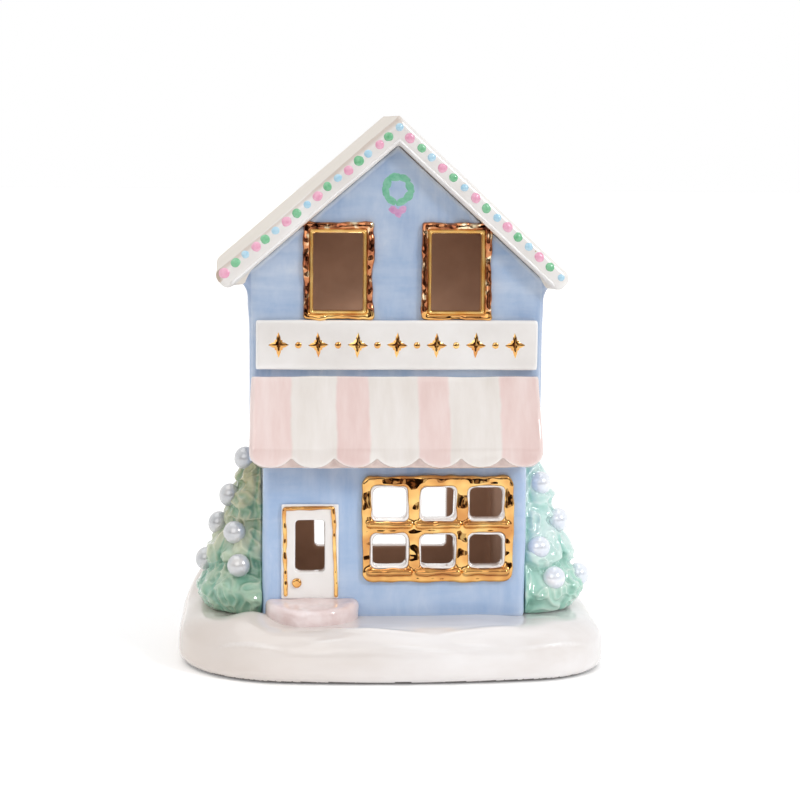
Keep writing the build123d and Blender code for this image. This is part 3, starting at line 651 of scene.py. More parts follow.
# House shell: the wall panels run into one another as a casting does
WALLS = ["shopfront_wall", "gable_wall", "rear_wall", "left_wall", "right_wall"]
FRONT_WAVE = 0.3  # the most that waves stand out of the front
FLARE_SLOW = (0.5, 110.0, 122.0)  # side walls under the eaves: how far out, from and to which height
FLARE_QUICK = (2.6, 123.0, 129.5)
FLARE_DEPTH = 1.6
FLARE_RIGHT_LOWER = 1.4
FLARE_RIGHT_SHARE = 0.75
CLAY_PAST = (0.6, 0.7)  # how far bare clay runs past the inner faces, across and in depth
REVEAL_OUT = 0.6
REVEAL_SHORT = 0.4
PANE_HOLE = (6.6, 6.4)
FRONT_HOLES = [(x, z, *PANE_HOLE) for x, z in PANES] + [(-28.3, 41.9, 6.2, 10.0)]
REAR_HOLE = (-0.5, 59.0, 24.5, 30.2)


def flared(points):
    x, _, up = points.T / MM
    right = x > 0
    up = up + np.where(right, FLARE_RIGHT_LOWER, 0.0)
    flare = FLARE_SLOW[0] * fade(up, *FLARE_SLOW[1:]) ** 2 + FLARE_QUICK[0] * fade(up, *FLARE_QUICK[1:]) ** 3
    flare *= fade(np.abs(x), UPPER_HALF - FLARE_DEPTH, UPPER_HALF) * np.where(right, FLARE_RIGHT_SHARE, 1.0)
    points[:, 0] += np.sign(x) * flare * MM
    return points


def shell_marks(centres):
    """Blue outside, bare clay with painted shade inside, white through the openings."""
    across, deep = CLAY_PAST
    inner_front, inner_back = FRONT + WALL, BACK - WALL
    marks = indoors(
        centres, LOWER_HALF - WALL + across, UPPER_HALF - WALL + across, inner_front - deep, inner_back + deep
    ).astype(np.int32)
    y = centres[:, 1]
    reveal = (y > FRONT - REVEAL_OUT) & (y < inner_front - REVEAL_SHORT)
    for hole in FRONT_HOLES:
        marks[reveal & in_hole(centres, hole)] = 2
    marks[(y > inner_back + REVEAL_SHORT) & (y < BACK - REVEAL_SHORT) & in_hole(centres, REAR_HOLE)] = 2
    return marks


shell = cad_copy(WALLS[0])
for node in WALLS[1:]:
    shell = union(shell, cad_copy(node))
shell = soften(shell, "shell")
ripple(shell, "shell")
points, _ = read(shell)
points[:, 1] = np.maximum(points[:, 1], (FRONT - FRONT_WAVE) * MM)
write(shell, flared(points))
assign(shell, shell_marks(face_centres(shell)))
finished("house_shell", shell, [blue, bisque_shaded, white], WALLS)

# Roof, with the corner under each eave filled
EAVE_FILL = [
    [(-56.4, 129.4), (-55.2, 128.3), (-50.2, 128.7), (-47.6, 130.4), (-47.6, 134.5), (-52.0, 132.0)],
    [(53.2, 128.7), (52.4, 127.7), (49.4, 127.6), (47.4, 129.0), (47.4, 132.0), (50.5, 130.8)],
]
EAVE_SHORT = 0.8
VERGE_DEPTH = 2.0  # full waves on the front face alone
SLOPE_WAVE_SHARE = 0.25


def keep_upper_edge(mesh):
    """Leaves thin glaze on the upper half of the roof's edge alone."""
    x, _, z = read(mesh)[0].T / MM
    fall = np.where(x < 0, SLOPE[-1], SLOPE[1]) * np.abs(x)
    layer = mesh.attributes["depth"]
    depth = np.empty(len(x))
    layer.data.foreach_get("value", depth)
    lower = RIDGE - z - fall > 0.5 * ROOF_DROP
    layer.data.foreach_set("value", np.where(lower, np.minimum(depth, EVEN), depth))


roof = cad_copy("roof")
for outline in EAVE_FILL:
    roof = union(roof, prism(outline, (FRONT + EAVE_SHORT, BACK - EAVE_SHORT)))
roof = soften(roof, "roof")
fitted(roof, "roof")
ripple(roof, "roof", lambda p: np.where(p[:, 1] < VERGE + VERGE_DEPTH, 1.0, SLOPE_WAVE_SHARE))
inner_half = UPPER_HALF - WALL
under = indoors(face_centres(roof), inner_half, inner_half, FRONT + WALL, BACK - WALL)
assign(roof, under & (values_of(roof.polygons, "normal")[:, 2] <= 0))
finished("roof_slab", roof, [roof_white, bisque_shaded], ["roof"])
keep_upper_edge(roof)

# Sign, awning, step and door
SIGN_GROW = (0.8, 0.0, 0.45)
AWNING_LEFT_STRETCH = 1.018
GAP_HEIGHT = 4.2  # painted shade between the scallops
GAP_BEHIND = 1.1
STEP_GROW = (0.4, 0.2, 0.2)
STEP_SINK = 2.2  # into the snow, fading out over a height
STEP_SINK_HEIGHT = 2.4

sign = soften(cad_copy("sign_board"), "sign_board")
fitted(sign, "sign_board", SIGN_GROW)
ripple(sign, "sign_board")
finished("sign_panel", sign, [white], ["sign_board"])

awning = soften(cad_copy("awning"), "awning")
ripple(awning, "awning")
points, _ = read(awning)
points[:, 0] *= np.where(points[:, 0] < 0, AWNING_LEFT_STRETCH, 1.0)
write(awning, points)
centres = face_centres(awning)
low_down = centres[:, 2] < end_of("awning", "Z", 0) + GAP_HEIGHT
# faces recessed between the scallops take the painted shade
assign(awning, low_down & (centres[:, 1] > end_of("awning", "Y", 0) + GAP_BEHIND))
finished("striped_awning", awning, [awning_look, scallop_gap_shade], ["awning"])

step = soften(cad_copy("door_step"), "door_step")
fitted(step, "door_step", STEP_GROW)
points, _ = read(step)
points[:, 2] -= STEP_SINK * MM * fade(points[:, 2] / MM, SNOW + STEP_SINK_HEIGHT, SNOW)
write(step, points)
ripple(step, "door_step")
finished("half_round_step", step, [pink], ["door_step"])

door = soften(cad_copy("door_panel"), "door_panel")
ripple(door, "door_panel")
finished("door_leaf", door, [white], ["door_panel"])

# Gold: painted over glaze that is full of slow waves, so it mirrors unevenly
ARC_STEPS = 8
RING_STEP = 0.35


def ring(x, z, half_wide, half_tall, radius):
    """Points round a rectangle with round corners, and the steps from one to the next."""
    spots = []
    for sign_x, sign_z, turn in ((1, -1, -90), (1, 1, 0), (-1, 1, 90), (-1, -1, 180)):
        for k in range(ARC_STEPS + 1):
            a = radians(turn + 90 * k / ARC_STEPS)
            across = sign_x * (half_wide - radius) + radius * cos(a)
            up = sign_z * (half_tall - radius) + radius * sin(a)
            spots.append((x + across, z + up))
    order = []
    for k, spot in enumerate(spots):
        steps = max(1, int(dist(spot, spots[(k + 1) % len(spots)]) / RING_STEP))
        order += [(k, i / steps) for i in range(steps)]
    return spots, order


def at(outline, k, share):
    """A place a share of the way on from point k of a closed outline."""
    return between(outline[k], outline[(k + 1) % len(outline)], share)


def swept(outer, inner, order, profile):
    """A ring between two outlines. Its profile is (share of the way in, height off the wall in mm)."""
    bm = bmesh.new()
    rows = []
    for k, share in order:
        edge, core = at(outer, k, share), at(inner, k, share)
        spots = [(*between(edge, core, way_in), height) for way_in, height in profile]
        rows.append([vert(bm, x, FRONT - height, z) for x, z, height in spots])
    return tube(bm, rows, "ring", closed=True)


# Upper windows: a lumpy band, a groove, then a smooth lip and a lining through the wall
BAND = [
    (0.0, -0.5), (0.0, 0.6), (0.02, 1.1), (0.06, 1.46), (0.13, 1.60), (0.24, 1.66), (0.36, 1.68),
    (0.47, 1.62), (0.55, 1.50), (0.60, 1.30), (0.63, 1.06), (0.66, 0.94), (0.68, 1.0), (0.71, 1.22),
    (0.76, 1.40), (0.82, 1.44), (0.88, 1.32), (0.94, 1.02), (1.0, 0.40), (1.0, -0.6), (1.0, -2.2),
    (1.0, -3.6), (1.0, -4.4), (0.78, -4.4), (0.72, -2.0), (0.6, -0.7),
]
LIP = (11, 20)  # the stretch of that profile that is lip and lining
UPPER_WINDOWS = {"left": -19.5, "right": 19.5}
BAND_OUTER = (133.35, 11.6, 16.05, 0.9)  # height of the middle, half sizes and corner radius
BAND_INNER = (132.95, 8.2, 12.75, 0.7)
LOW_RAIL_TOP = 119.4
LINING_DEPTH = 0.4  # waves fade out this far either side of the wall's face
LIP_WAVE_SHARE = 0.15


def lumps(x):
    """Weight of the waves on the window at x: little on the lip, and none on the lining."""
    def weight(p):
        middle, half_wide, half_tall, _ = BAND_INNER
        out = np.maximum(np.abs(p[:, 0] - x) - half_wide, np.abs(p[:, 2] - middle) - half_tall)
        proud = fade(p[:, 1], FRONT + LINING_DEPTH, FRONT - LINING_DEPTH)
        return proud * np.clip(out - 1.0, LIP_WAVE_SHARE, 1.0)
    return weight


for side, x in UPPER_WINDOWS.items():
    outer, order = ring(x, *BAND_OUTER)
    inner, _ = ring(x, *BAND_INNER)
    mesh = swept(outer, inner, order, BAND)
    ripple(mesh, "upper_window", lumps(x))
    strip = np.tile(np.arange(len(BAND)), len(order))
    low_rail = np.repeat([at(outer, k, share)[1] < LOW_RAIL_TOP for k, share in order], len(BAND))
    assign(mesh, np.where((strip >= LIP[0]) & (strip < LIP[1]), 2, low_rail))
    looks = [gold_thin_and_glints, gold, gold_pale_reflection]
    finished("gold_window_" + side, mesh, looks, ["upper_window_frame_" + side])

for node, piece in (("shop_window_frame", "gold_shop_window"), ("door_knob", "gold_door_knob")):
    mesh = soften(cad_copy(node), node)
    ripple(mesh, node)
    finished(piece, mesh, [gold], [node])

# White rims inside the gold, one to a pane
RIM = [
    (0.0, 0.2), (0.0, 0.95), (0.1, 1.22), (0.35, 1.34), (0.62, 1.24), (0.85, 0.95), (0.98, 0.5), (1.0, 0.0),
    (1.0, -2.0), (1.0, -4.3), (0.7, -4.3), (0.5, -0.5),
]
RIM_OUTER = (6.4, 6.1, 2.0)
RIM_INNER = (5.55, 5.25, 1.9)
bm = bmesh.new()
for x, z in PANES:
    outer, order = ring(x, z, *RIM_OUTER)
    inner, _ = ring(x, z, *RIM_INNER)
    mesh = swept(outer, inner, order, RIM)
    bm.from_mesh(mesh)
    bpy.data.meshes.remove(mesh)
rims = built(bm, "pane_rims")
ripple(rims, "rims")
finished("pane_rims", rims, [white], [])

# Door: one bead of gold drawn round it by hand, a little out of true
DOOR_LINE = [(-36.3, 25.0), (-36.9, 54.5), (-20.7, 54.9), (-19.5, 24.6)]
DOOR_FACE = FRONT - 1.0
BEAD_WIDTH = 1.35
BEAD_HEIGHT = 0.75
BEAD_CORNER = 0.8
BEAD_STEP = 0.3
BEAD_SIDES = 14
BEAD_DRIFT = 0.25
BEAD_SWELL_SHARE = 0.35


def bead_path(corners):
    """Points along the corners, which are rounded, a step apart."""
    path = [corners[0]]
    for before, here, after in zip(corners, corners[1:], corners[2:]):
        here = Vector(here)
        back = (Vector(before) - here).normalized() * BEAD_CORNER
        on = (Vector(after) - here).normalized() * BEAD_CORNER
        for k in range(ARC_STEPS + 1):
            t = k / ARC_STEPS
            path.append(tuple((here + back * (1 - t)) * (1 - t) + (here + on * t) * t))
    path.append(corners[-1])
    dense = []
    for a, b in zip(path, path[1:]):
        steps = max(1, int(dist(a, b) / BEAD_STEP))
        dense += [between(a, b, k / steps) for k in range(steps)]
    return dense + [path[-1]]


def bead(corners, y):
    """A bead along corners of (x, z), over a face at depth y."""
    bm = bmesh.new()
    path = bead_path(corners)
    last = len(path) - 1
    rows = []
    for k, (x, z) in enumerate(path):
        a, b = path[max(k - 1, 0)], path[min(k + 1, last)]
        side = Vector((a[1] - b[1], b[0] - a[0])).normalized()
        end = min(k, last - k) * BEAD_STEP
        swell = sqrt(max(0.02, 1 - max(0.0, 1 - end / (0.5 * BEAD_WIDTH)) ** 2))
        swell *= 1 + BEAD_SWELL_SHARE * noise.noise(Vector((x / 3.0, z / 3.0, 4.0)))
        drift = BEAD_DRIFT * noise.noise(Vector((x / 6.0, z / 6.0, 9.0)))
        row = []
        for i in range(BEAD_SIDES):
            t = 2 * pi * i / BEAD_SIDES
            off = side * (drift + 0.5 * BEAD_WIDTH * swell * cos(t))
            row.append(vert(bm, x + off.x, y - BEAD_HEIGHT * swell * sin(t), z + off.y))
        rows.append(row)
    return tube(bm, rows, "bead")


finished("gold_door_line", bead(DOOR_LINE, DOOR_FACE), [gold], ["door_casing"])

# Snow: each fold is x and angle round the rim, from and to, then its height and spread
FOLDS = [
    (-24.0, 80.0, 12.0, 56.0, 0.91, 6.0), (10.0, 52.0, 40.0, 76.0, 0.70, 7.0),
    (-8.0, 34.0, 22.0, 12.0, 0.77, 5.0), (16.0, 32.0, 34.0, 24.0, 0.56, 4.5),
    (36.0, 17.0, 64.0, 30.0, 0.70, 6.0), (-30.0, 34.0, -16.0, 46.0, 0.49, 4.5),
    (-60.0, 40.0, -36.0, 20.0, 0.63, 8.0),
]
DRIFTS = [  # x, y, half width, half depth and height
    (-62.0, 22.0, 6.5, 13.0, 9.5), (-48.0, -36.0, 5.5, 5.5, 3.0), (-60.0, -6.0, 6.0, 6.0, 1.5),
    (50.0, -37.0, 6.0, 6.0, 1.2),
]
DRIFT_FADE = (5.0, 17.0)  # heights between which the drifts come in
RIM_FRONT = -49.0  # the line that the rim turns about
RIM_HEIGHT = 8.5
RIM_BEND = 8.5
RIM_HALF = 68.5
FOOT_TOP = 0.6
FOOT_FADE = 4.0
WELL_SHORT = 2.0
CONTACT_SHADOW_HEIGHT = 1.0


def snow_weight(p):
    """Full on the snow, nothing on its foot or inside the well."""
    x, y, z = p.T
    well = (np.abs(x) < LOWER_HALF - WELL_SHORT) & (y > FRONT + WELL_SHORT) & (y < BACK - WELL_SHORT)
    return fade(z, FOOT_TOP, FOOT_TOP + FOOT_FADE) * np.where(well, 0.0, 1.0)


def folds(p):
    """Height of the folds at each point of the front flank."""
    x, y, z = p.T
    rim_y = RIM_FRONT + RIM_BEND * (x / RIM_HALF) ** 2
    angle = np.degrees(np.arctan2(z - RIM_HEIGHT, rim_y - y))
    height = np.zeros(len(p))
    for x0, a0, x1, a1, rise, spread in FOLDS:
        along = fade(x, x0, x1)
        off = (angle - (a0 + (a1 - a0) * along)) / spread
        crest = np.exp(-(off ** 2) * np.where(off > 0, 0.5, 1.2))
        height += rise * crest * np.sin(pi * along) ** 0.8
    return height * (y < FRONT - WELL_SHORT)


base = soften(cad_copy("snow_base"), "snow_base")
ripple(base, "snow_base", snow_weight)
points, normals = read(base)
flat = points / MM
weight = snow_weight(flat)
points += normals * (folds(flat) * weight)[:, None] * MM
for x, y, wide, deep, rise in DRIFTS:
    lift = rise * np.exp(-0.5 * (((flat[:, 0] - x) / wide) ** 2 + ((flat[:, 1] - y) / deep) ** 2))
    points[:, 2] += lift * MM * fade(flat[:, 2], *DRIFT_FADE) * weight
low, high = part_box("snow_base")
points[:, :2] = np.clip(points[:, :2], low[:2], high[:2])
points[:, 2] = np.maximum(points[:, 2], 0.0)
write(base, points)
centres = face_centres(base)
inner_half = LOWER_HALF - WALL
marks = indoors(centres, inner_half, inner_half, FRONT + WALL, BACK - WALL).astype(np.int32)
# faces along the bottom take the painted contact shadow
marks[centres[:, 2] < CONTACT_SHADOW_HEIGHT] = 2
assign(base, marks)
finished("snow_mound", base, [snow, bisque_shaded, foot_contact_shadow], ["snow_base"])

# Trees. Skirts of boughs: height of the hem over the snow, and how many boughs go round the half
SKIRTS = [(-3.0, 4.0), (16.5, 3.6), (36.0, 3.0), (53.0, 2.4)]
SKIRT_DROP = 20.0
HEM_ROUND = 3.4
HEM_SWAY = 2.6
BOUGH_BULGE = 3.3
WRINKLE_HEIGHT = 0.8
RUFFLE_HEIGHT = 1.1
RUFFLE_BEND = 2.4
SWELL_HEIGHT = 0.7
TREE_SHRINK = 2.3
ROOT_TUCK = 1.6
ROOT_HEIGHT = 9.0
ROOT_SHADE = {-1: 0.08, 1: 0.22}
TREE_SEED = {-1: 3.0, 1: 21.0}
END_FADE = 2.0
WALL_FADE = 1.5


def ridge(values, width):
    """1 along the lines where a noise is zero, falling to 0 at the width."""
    return 1.0 - np.minimum(np.abs(values) / width, 1.0)


def skirts(bearing, rise, sway, seed):
    """How far the boughs swell out, and the shadow under and between them."""
    swell = np.zeros(len(rise))
    shadow = np.zeros(len(rise))
    for k, (hem, boughs) in enumerate(SKIRTS):
        turn = boughs * (bearing + 0.22 * sway) / pi + 0.37 * k + seed
        across = 2.0 * (turn - np.floor(turn)) - 1.0
        edge = hem + HEM_ROUND * (1.0 - np.sqrt(1.0 - 0.97 * across ** 2)) + HEM_SWAY * sway
        up = (rise - edge) / SKIRT_DROP
        bulge = BOUGH_BULGE * np.sqrt(1.0 - 0.72 * across ** 2) * np.exp(-1.5 * np.maximum(up, 0.0))
        over = np.maximum(bulge * fade(up, -0.05, 0.05), swell * np.exp(-8 * up))
        swell = np.where(up > -0.05, over, swell)
        below = np.exp(-np.clip(-up, 0.0, 9.0) / 0.12) * fade(up, 0.04, -0.04)
        crease = np.abs(across) ** 9 * fade(up, 1.2, 0.2) * (up > 0)
        shadow = np.where(up > 0, crease, np.maximum(shadow, below))
    return swell, shadow


def tree_mesh(node, side):
    """Skirts of round boughs, each over the one below, with wrinkles down them."""
    seed = TREE_SEED[side]
    mesh = soften(cad_copy(node), node)
    points, normals = read(mesh)
    x, y, z = points.T / MM
    out = np.maximum(side * x - LOWER_HALF, 0.0)
    bearing = np.arctan2(TREE_Y - y, out + 0.01)
    rise = z - SNOW
    sway = field(points, 15.0, seed)
    swell, shadow = skirts(bearing, rise, sway, seed)
    run = np.stack([13.0 * bearing + 3.0 * sway, 0.30 * rise + 2.5 * sway, 0.1 * out], axis=1) * MM
    wrinkle = ridge(field(run, 3.0, seed + 1.0), 0.40) ** 2
    wrinkle *= np.clip(0.7 + 1.3 * field(points, 11.0, seed + 9.0), 0.0, 1.0)
    soft = field(points, 7.0, seed + 5.0)
    bend = np.stack([field(points, 8.0, seed + shift) for shift in (31.0, 47.0, 63.0)], axis=1)
    ruffle = ridge(field(points + bend * RUFFLE_BEND * MM, 4.4, seed + 12.0), 0.30)
    move = swell + WRINKLE_HEIGHT * wrinkle + RUFFLE_HEIGHT * ruffle ** 1.4 + SWELL_HEIGHT * soft
    move -= TREE_SHRINK + ROOT_TUCK * fade(rise, ROOT_HEIGHT, 0.0)
    move *= fade(rise, 0.0, END_FADE) * fade(z, JETTY, JETTY - END_FADE) * fade(out, 0.0, WALL_FADE)
    low, high = (np.array(corner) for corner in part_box(node))
    write(mesh, np.clip(points + normals * move[:, None] * MM, low, high))
    bm = bmesh.new()
    bm.from_mesh(mesh)
    for _ in range(3):
        bmesh.ops.smooth_vert(
            bm, verts=bm.verts, factor=0.5, use_axis_x=True, use_axis_y=True, use_axis_z=True
        )
    bm.to_mesh(mesh)
    bm.free()
    # tone carries the painted shade under the hems, between the boughs and near the root
    tone = 0.46 + 0.20 * soft + 0.26 * wrinkle ** 2 + 0.26 * ruffle ** 2 - 0.46 * shadow
    tone -= ROOT_SHADE[side] * fade(rise, 22.0, 6.0)
    layer = mesh.attributes.new("fold_and_shade", "FLOAT", "POINT")
    layer.data.foreach_set("value", np.clip(tone, 0.0, 1.0))
    return mesh


def pearls(side):
    """Half pearls sunk in the tree, each facing out and a little up."""
    bm = bmesh.new()
    for share, bearing in PEARLS[side]:
        rise = share * TREE_HEIGHT
        reach = TREE_RADIUS * (1 - share)
        a = radians(bearing)
        out = Vector((side * cos(a), -sin(a), 0.25)).normalized()
        x = side * (LOWER_HALF + reach * cos(a))
        middle = Vector((x, TREE_Y - reach * sin(a), SNOW + rise))
        turn = out.to_track_quat("Z", "Y").to_matrix().to_4x4()
        size = PEARL_RADIUS * rng.uniform(0.97, 1.0) * MM
        squash = Matrix.Diagonal((size, size, 0.9 * size, 1.0))
        spot = Matrix.Translation((middle + 0.6 * out) * MM) @ turn @ squash
        bmesh.ops.create_uvsphere(bm, u_segments=36, v_segments=22, radius=1.0, matrix=spot)
    return built(bm, "pearls")


finished("folded_tree_left", tree_mesh("tree_left", -1), [tree_shaded_olive], ["tree_left"])
finished("folded_tree_right", tree_mesh("tree_right", 1), [tree_lit_mint], ["tree_right"])
finished("half_pearls_left", pearls(-1), [pearl_shaded], ["tree_pearls_left"])
finished("half_pearls_right", pearls(1), [pearl_lit], ["tree_pearls_right"])

# Painted touches: low domes of glaze with an uneven outline
DAB_SIDES = 24
DAB_RINGS = 4
DAB_SUNK = 0.06
RAY_START = -0.1


def surface(mesh):
    bm = bmesh.new()
    bm.from_mesh(mesh)
    tree = BVHTree.FromBMesh(bm)
    bm.free()
    return tree


def depth_at(ground, x, z, missed):
    """Depth of the ground as seen from the front, or another depth where it is missed."""
    hit = ground.ray_cast(Vector((x * MM, RAY_START, z * MM)), Vector((0.0, 1.0, 0.0)))[0]
    return missed if hit is None else hit.y / MM


def dab(bm, ground, x, z, wide, tall, turn, height, index, shape=None, rough=0.10):
    """One brush dab on the front, centred at x, z."""
    seed = rng.uniform(0, 50)

    def spot(u, v, lift):
        px = x + u * cos(turn) - v * sin(turn)
        pz = z + u * sin(turn) + v * cos(turn)
        return vert(bm, px, depth_at(ground, px, pz, FRONT) - lift, pz)

    grid = []
    for k in range(1, DAB_RINGS + 1):
        share = k / DAB_RINGS
        lift = height * (1 - share ** 3) - (DAB_SUNK if k == DAB_RINGS else 0.0)
        line = []
        for i in range(DAB_SIDES):
            a = 2 * pi * i / DAB_SIDES
            radius = share * (1 + rough * noise.noise(Vector((cos(a) * 1.4, sin(a) * 1.4, seed))))
            if shape is not None:
                radius *= shape(a)
            line.append(spot(radius * cos(a) * wide / 2, radius * sin(a) * tall / 2, lift))
        grid.append(line)
    top = spot(0.0, 0.0, height)
    for i in range(DAB_SIDES):
        n = (i + 1) % DAB_SIDES
        faces = [(top, grid[0][i], grid[0][n])]
        faces += [(inner[i], outer[i], outer[n], inner[n]) for inner, outer in zip(grid, grid[1:])]
        for corners in faces:
            bm.faces.new(corners).material_index = index


def painted(name, bm, looks):
    for face in bm.faces:
        face.normal_update()
        if face.normal.y > 0:
            face.normal_flip()
    finished(name, built(bm, name), looks, [])


# Dots along the verge: how many, place of the last, order of colours, and how much flatter
DOT_SIZES = (3.45, 3.3, 2.75)
DOT_ROWS = {-1: (17, 56.6, (1, 0, 2), 0.025), 1: (15, 53.4, (0, 1, 2), 0.012)}
DOT_DROP = 3.9
DOT_STRAY = 0.25
DOT_HEIGHT = 0.5
TOP_DOT = (3.7, 2.8, 0.45)  # drop from the ridge, size and height
ground = surface(roof)
bm = bmesh.new()
dab(bm, ground, 0.0, RIDGE - TOP_DOT[0], TOP_DOT[1], TOP_DOT[1], 0.0, TOP_DOT[2], 2)
for side, (count, last, order, flatter) in DOT_ROWS.items():
    for k in range(count):
        x = last * (k + 1) / count + rng.uniform(-DOT_STRAY, DOT_STRAY)
        z = RIDGE - DOT_DROP - x * (SLOPE[side] - flatter) + rng.uniform(-DOT_STRAY, DOT_STRAY)
        colour = order[k % 3]
        size = DOT_SIZES[colour] * rng.uniform(0.92, 1.06)
        tall = size * rng.uniform(0.88, 1.05)
        dab(bm, ground, side * x, z, size, tall, rng.uniform(0, 3), DOT_HEIGHT, colour)
painted("verge_dots", bm, [dot_pink, dot_green, dot_blue])

# Wreath of eight strokes, with a bow of two loops and a knot
WREATH_Z = 160.0
WREATH_RADII = (4.0, 4.2)
WREATH_STROKE = (5.0, 2.9)
WREATH_HEIGHT = 0.10
BOW_HEIGHT = 0.14
ground = surface(shell)
bm = bmesh.new()
for k in range(8):
    a = pi / 4 * (k + 0.3) + rng.uniform(-0.10, 0.10)
    x, z = WREATH_RADII[0] * cos(a), WREATH_Z + WREATH_RADII[1] * sin(a)
    turn = a + pi / 2 + rng.uniform(-0.35, 0.35)
    dab(bm, ground, x, z, *WREATH_STROKE, turn, WREATH_HEIGHT, 0, rough=0.30)
for x, z, wide, tall, turn in (
    (-1.5, 153.4, 3.3, 2.8, -0.5), (1.5, 153.4, 3.3, 2.8, 0.5), (0.1, 152.3, 2.6, 3.4, 0.2),
):
    dab(bm, ground, x, z, wide, tall, turn, BOW_HEIGHT, 1, rough=0.25)
painted("painted_wreath", bm, [wreath_green, bow_pink])

# Sign: a plain row of stars and beads in gold
SIGN_MARKS = 13
SIGN_PITCH = 6.5
SIGN_Z = 109.0
STAR_SIZE = (7.2, 9.0)
STAR_HEIGHT = 0.30
SPOT_SIZE = 2.3
SPOT_HEIGHT = 0.34


def star(a):
    """Eight points, the upright four the longer."""
    return 0.34 + 0.66 * abs(cos(2 * a)) ** 5 + 0.20 * abs(sin(2 * a)) ** 5


ground = surface(sign)
bm = bmesh.new()
for k in range(SIGN_MARKS):
    x = SIGN_PITCH * (k - (SIGN_MARKS - 1) / 2)
    if k % 2 == 0:
        dab(bm, ground, x, SIGN_Z, *STAR_SIZE, rng.uniform(-0.05, 0.05), STAR_HEIGHT, 0, star, 0.05)
    else:
        dab(bm, ground, x, SIGN_Z, SPOT_SIZE, SPOT_SIZE, 0.0, SPOT_HEIGHT, 0)
painted("sign_stars", bm, [gold])

# Roof: a thin raised lip along the lower edge of the front face
EDGE_STEPS = 60
EDGE_SIDES = 10
EDGE_SHORT = 6.0
EDGE_UP = 1.5
EDGE_PROUD = 0.10
EDGE_RADIUS = 0.52
ground = surface(roof)
path = []
for side in (-1, 1):
    rake = []
    for k in range(EDGE_STEPS + 1):
        x = (SPAN[side] - EDGE_SHORT) * (1 - k / EDGE_STEPS)
        rake.append((side * x, RIDGE - ROOF_DROP + EDGE_UP - x * SLOPE[side]))
    path += rake if side < 0 else rake[::-1][1:]
bm = bmesh.new()
rows = []
for x, z in path:
    y = depth_at(ground, x, z, VERGE) - EDGE_PROUD
    thick = EDGE_RADIUS + 0.10 * noise.noise(Vector((x / 5.0, z / 5.0, 2.0)))
    turns = [2 * pi * k / EDGE_SIDES for k in range(EDGE_SIDES)]
    rows.append([vert(bm, x, y - 0.6 * thick * sin(a), z + thick * cos(a)) for a in turns])
finished("verge_lip", tube(bm, rows, "verge_lip"), [white], [])

# Tea light
for name, look in (
    ("cup", plastic), ("base_plate", plastic), ("battery_door", plastic), ("switch", dark_plastic),
    ("coin_cell", steel), ("contacts", steel), ("led", epoxy), ("flame", flame),
):
    mesh = NODES["tealight_" + name].data
    mesh.materials.clear()
    mesh.materials.append(look.mat)

# Floor, in metres
FLOOR_STOPS = [(0.3, (0.93, 0.93, 0.93, 1.0)), (0.7, (0.95, 0.95, 0.95, 1.0))]
left, right, near, far = -6.0, 6.0, -0.52, 6.0
corners = [(left, near, 0), (right, near, 0), (right, far, 0), (left, far, 0)]
floor_mesh = bpy.data.meshes.new("floor")
floor_mesh.from_pydata(corners, [], [(0, 1, 2, 3)])
floor_look = Look("floor_white")
paint = floor_look.ramp(floor_look.noise(900.0), FLOOR_STOPS)
floor_look.set(Base_Color=paint, Roughness=0.9, Emission_Color=WHITE, Emission_Strength=0.18)
floor = placed("floor", floor_mesh, [floor_look])

# Soft suns: the way towards each, its strength, width in degrees and colour
for name, towards, strength, angle, colour in (
    ("key", (0.66, -0.62, 0.54), 1.0, 14.0, (0.965, 0.985, 1.0)),
    ("fill", (-0.35, -0.75, 0.42), 0.38, 40.0, (1.0, 0.985, 0.97)),
    ("sky", (-0.15, 0.1, 1.0), 0.56, 60.0, (1.0, 0.995, 0.985)),
):
    lamp = bpy.data.lights.new(name, "SUN")
    lamp.energy = strength
    lamp.angle = radians(angle)
    lamp.color = colour
    linked(name, lamp).rotation_euler = Vector(towards).to_track_quat("Z", "Y").to_euler()

glow = bpy.data.lights.new("inside_glow", "POINT")
glow.energy = 0.041
glow.color = (1.0, 0.93, 0.86)
glow.shadow_soft_size = 0.012
linked("inside_glow", glow).location = (0.0, 0.004, 0.092)

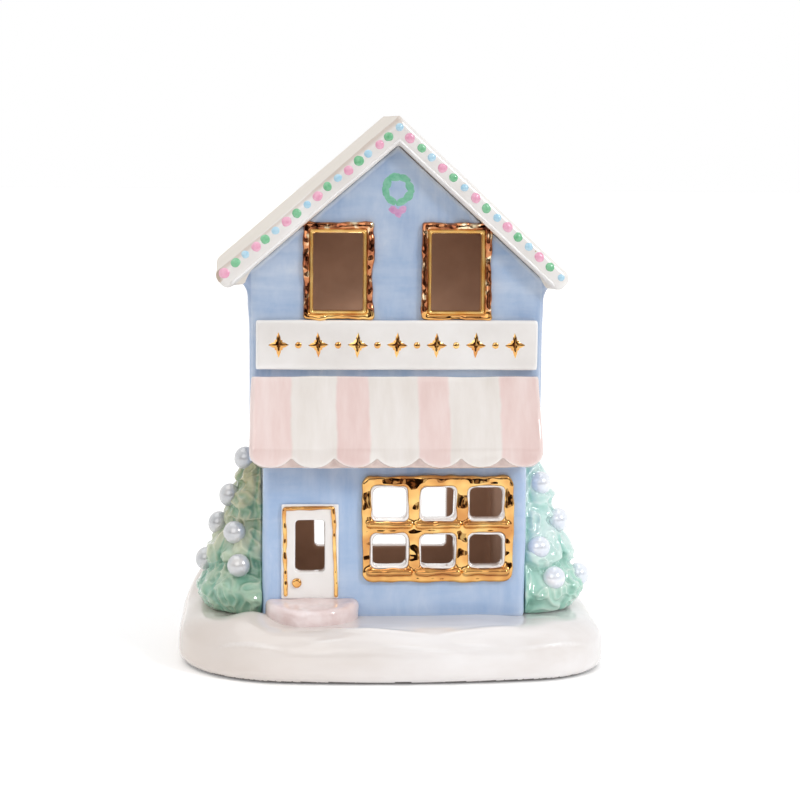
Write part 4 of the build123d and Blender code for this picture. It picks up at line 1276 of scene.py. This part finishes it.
# The room: dim and brown in front at eye level, bright above, behind and in a few patches
ROOM_BRIGHT = (1.0, 0.99, 0.975, 1.0)
ROOM_STOPS = [
    (0.0, (0.02, 0.014, 0.012, 1.0)), (0.30, (0.05, 0.03, 0.022, 1.0)), (0.36, (0.30, 0.19, 0.145, 1.0)),
    (0.62, (0.42, 0.28, 0.21, 1.0)), (0.72, ROOM_BRIGHT), (1.0, ROOM_BRIGHT),
]
world = bpy.data.worlds.new("room")
bpy.context.scene.world = world
room = Graph(world)
way = room.add("TexCoord").outputs["Generated"]
axes = room.add("SeparateXYZ", Vector=way).outputs
patches = room.add("TexNoise", Vector=way, Scale=4.5, Detail=1.0).outputs["Fac"]
above = room.span(axes["Z"], 0.0, 1.0, 0.16, 0.30)
behind = room.span(axes["Y"], 0.0, 1.0, -0.38, 0.02)
windows = room.span(patches, 0.0, 1.0, 0.44, 0.66)
bright = room.calc("ADD", room.calc("ADD", above, behind, clamp=True), windows, clamp=True)
shades = room.add("Background", Color=room.ramp(bright, ROOM_STOPS), Strength=0.70)

# A white page behind the house, seen straight, through it and in its glaze
page = room.add("Background", Color=WHITE, Strength=1.0)
ray = room.add("LightPath").outputs
mirrored = room.calc("ADD", ray["Is Glossy Ray"], ray["Is Transmission Ray"], clamp=True)
seen = room.calc("ADD", ray["Is Camera Ray"], room.calc("MULTIPLY", mirrored, behind), clamp=True)
mix = room.add("MixShader", Fac=seen)
room.plug(mix.inputs[1], shades.outputs["Background"])
room.plug(mix.inputs[2], page.outputs["Background"])
room.add("OutputWorld", Surface=mix.outputs["Shader"])

# Camera: a little left of the middle and above, with a long lens
CAMERA = (-56.1, -832.0, 180.6)
yaw, pitch, roll = (radians(angle) for angle in (4.1, 6.4, 0.5))
forward = Vector((sin(yaw) * cos(pitch), cos(yaw) * cos(pitch), -sin(pitch)))
right = Vector((cos(yaw), -sin(yaw), 0.0))
up = right.cross(forward)
right, up = cos(roll) * right + sin(roll) * up, cos(roll) * up - sin(roll) * right
lens = bpy.data.cameras.new("camera")
lens.sensor_fit = "HORIZONTAL"
lens.sensor_width = 36.0
lens.lens = 109.8
lens.clip_start = 0.05
lens.clip_end = 50.0
camera = linked("camera", lens)
turn = Matrix((right, up, -forward)).transposed().to_4x4()
camera.matrix_world = Matrix.Translation(Vector(CAMERA) * MM) @ turn
bpy.context.scene.camera = camera
bpy.context.scene.view_settings.view_transform = "Standard"
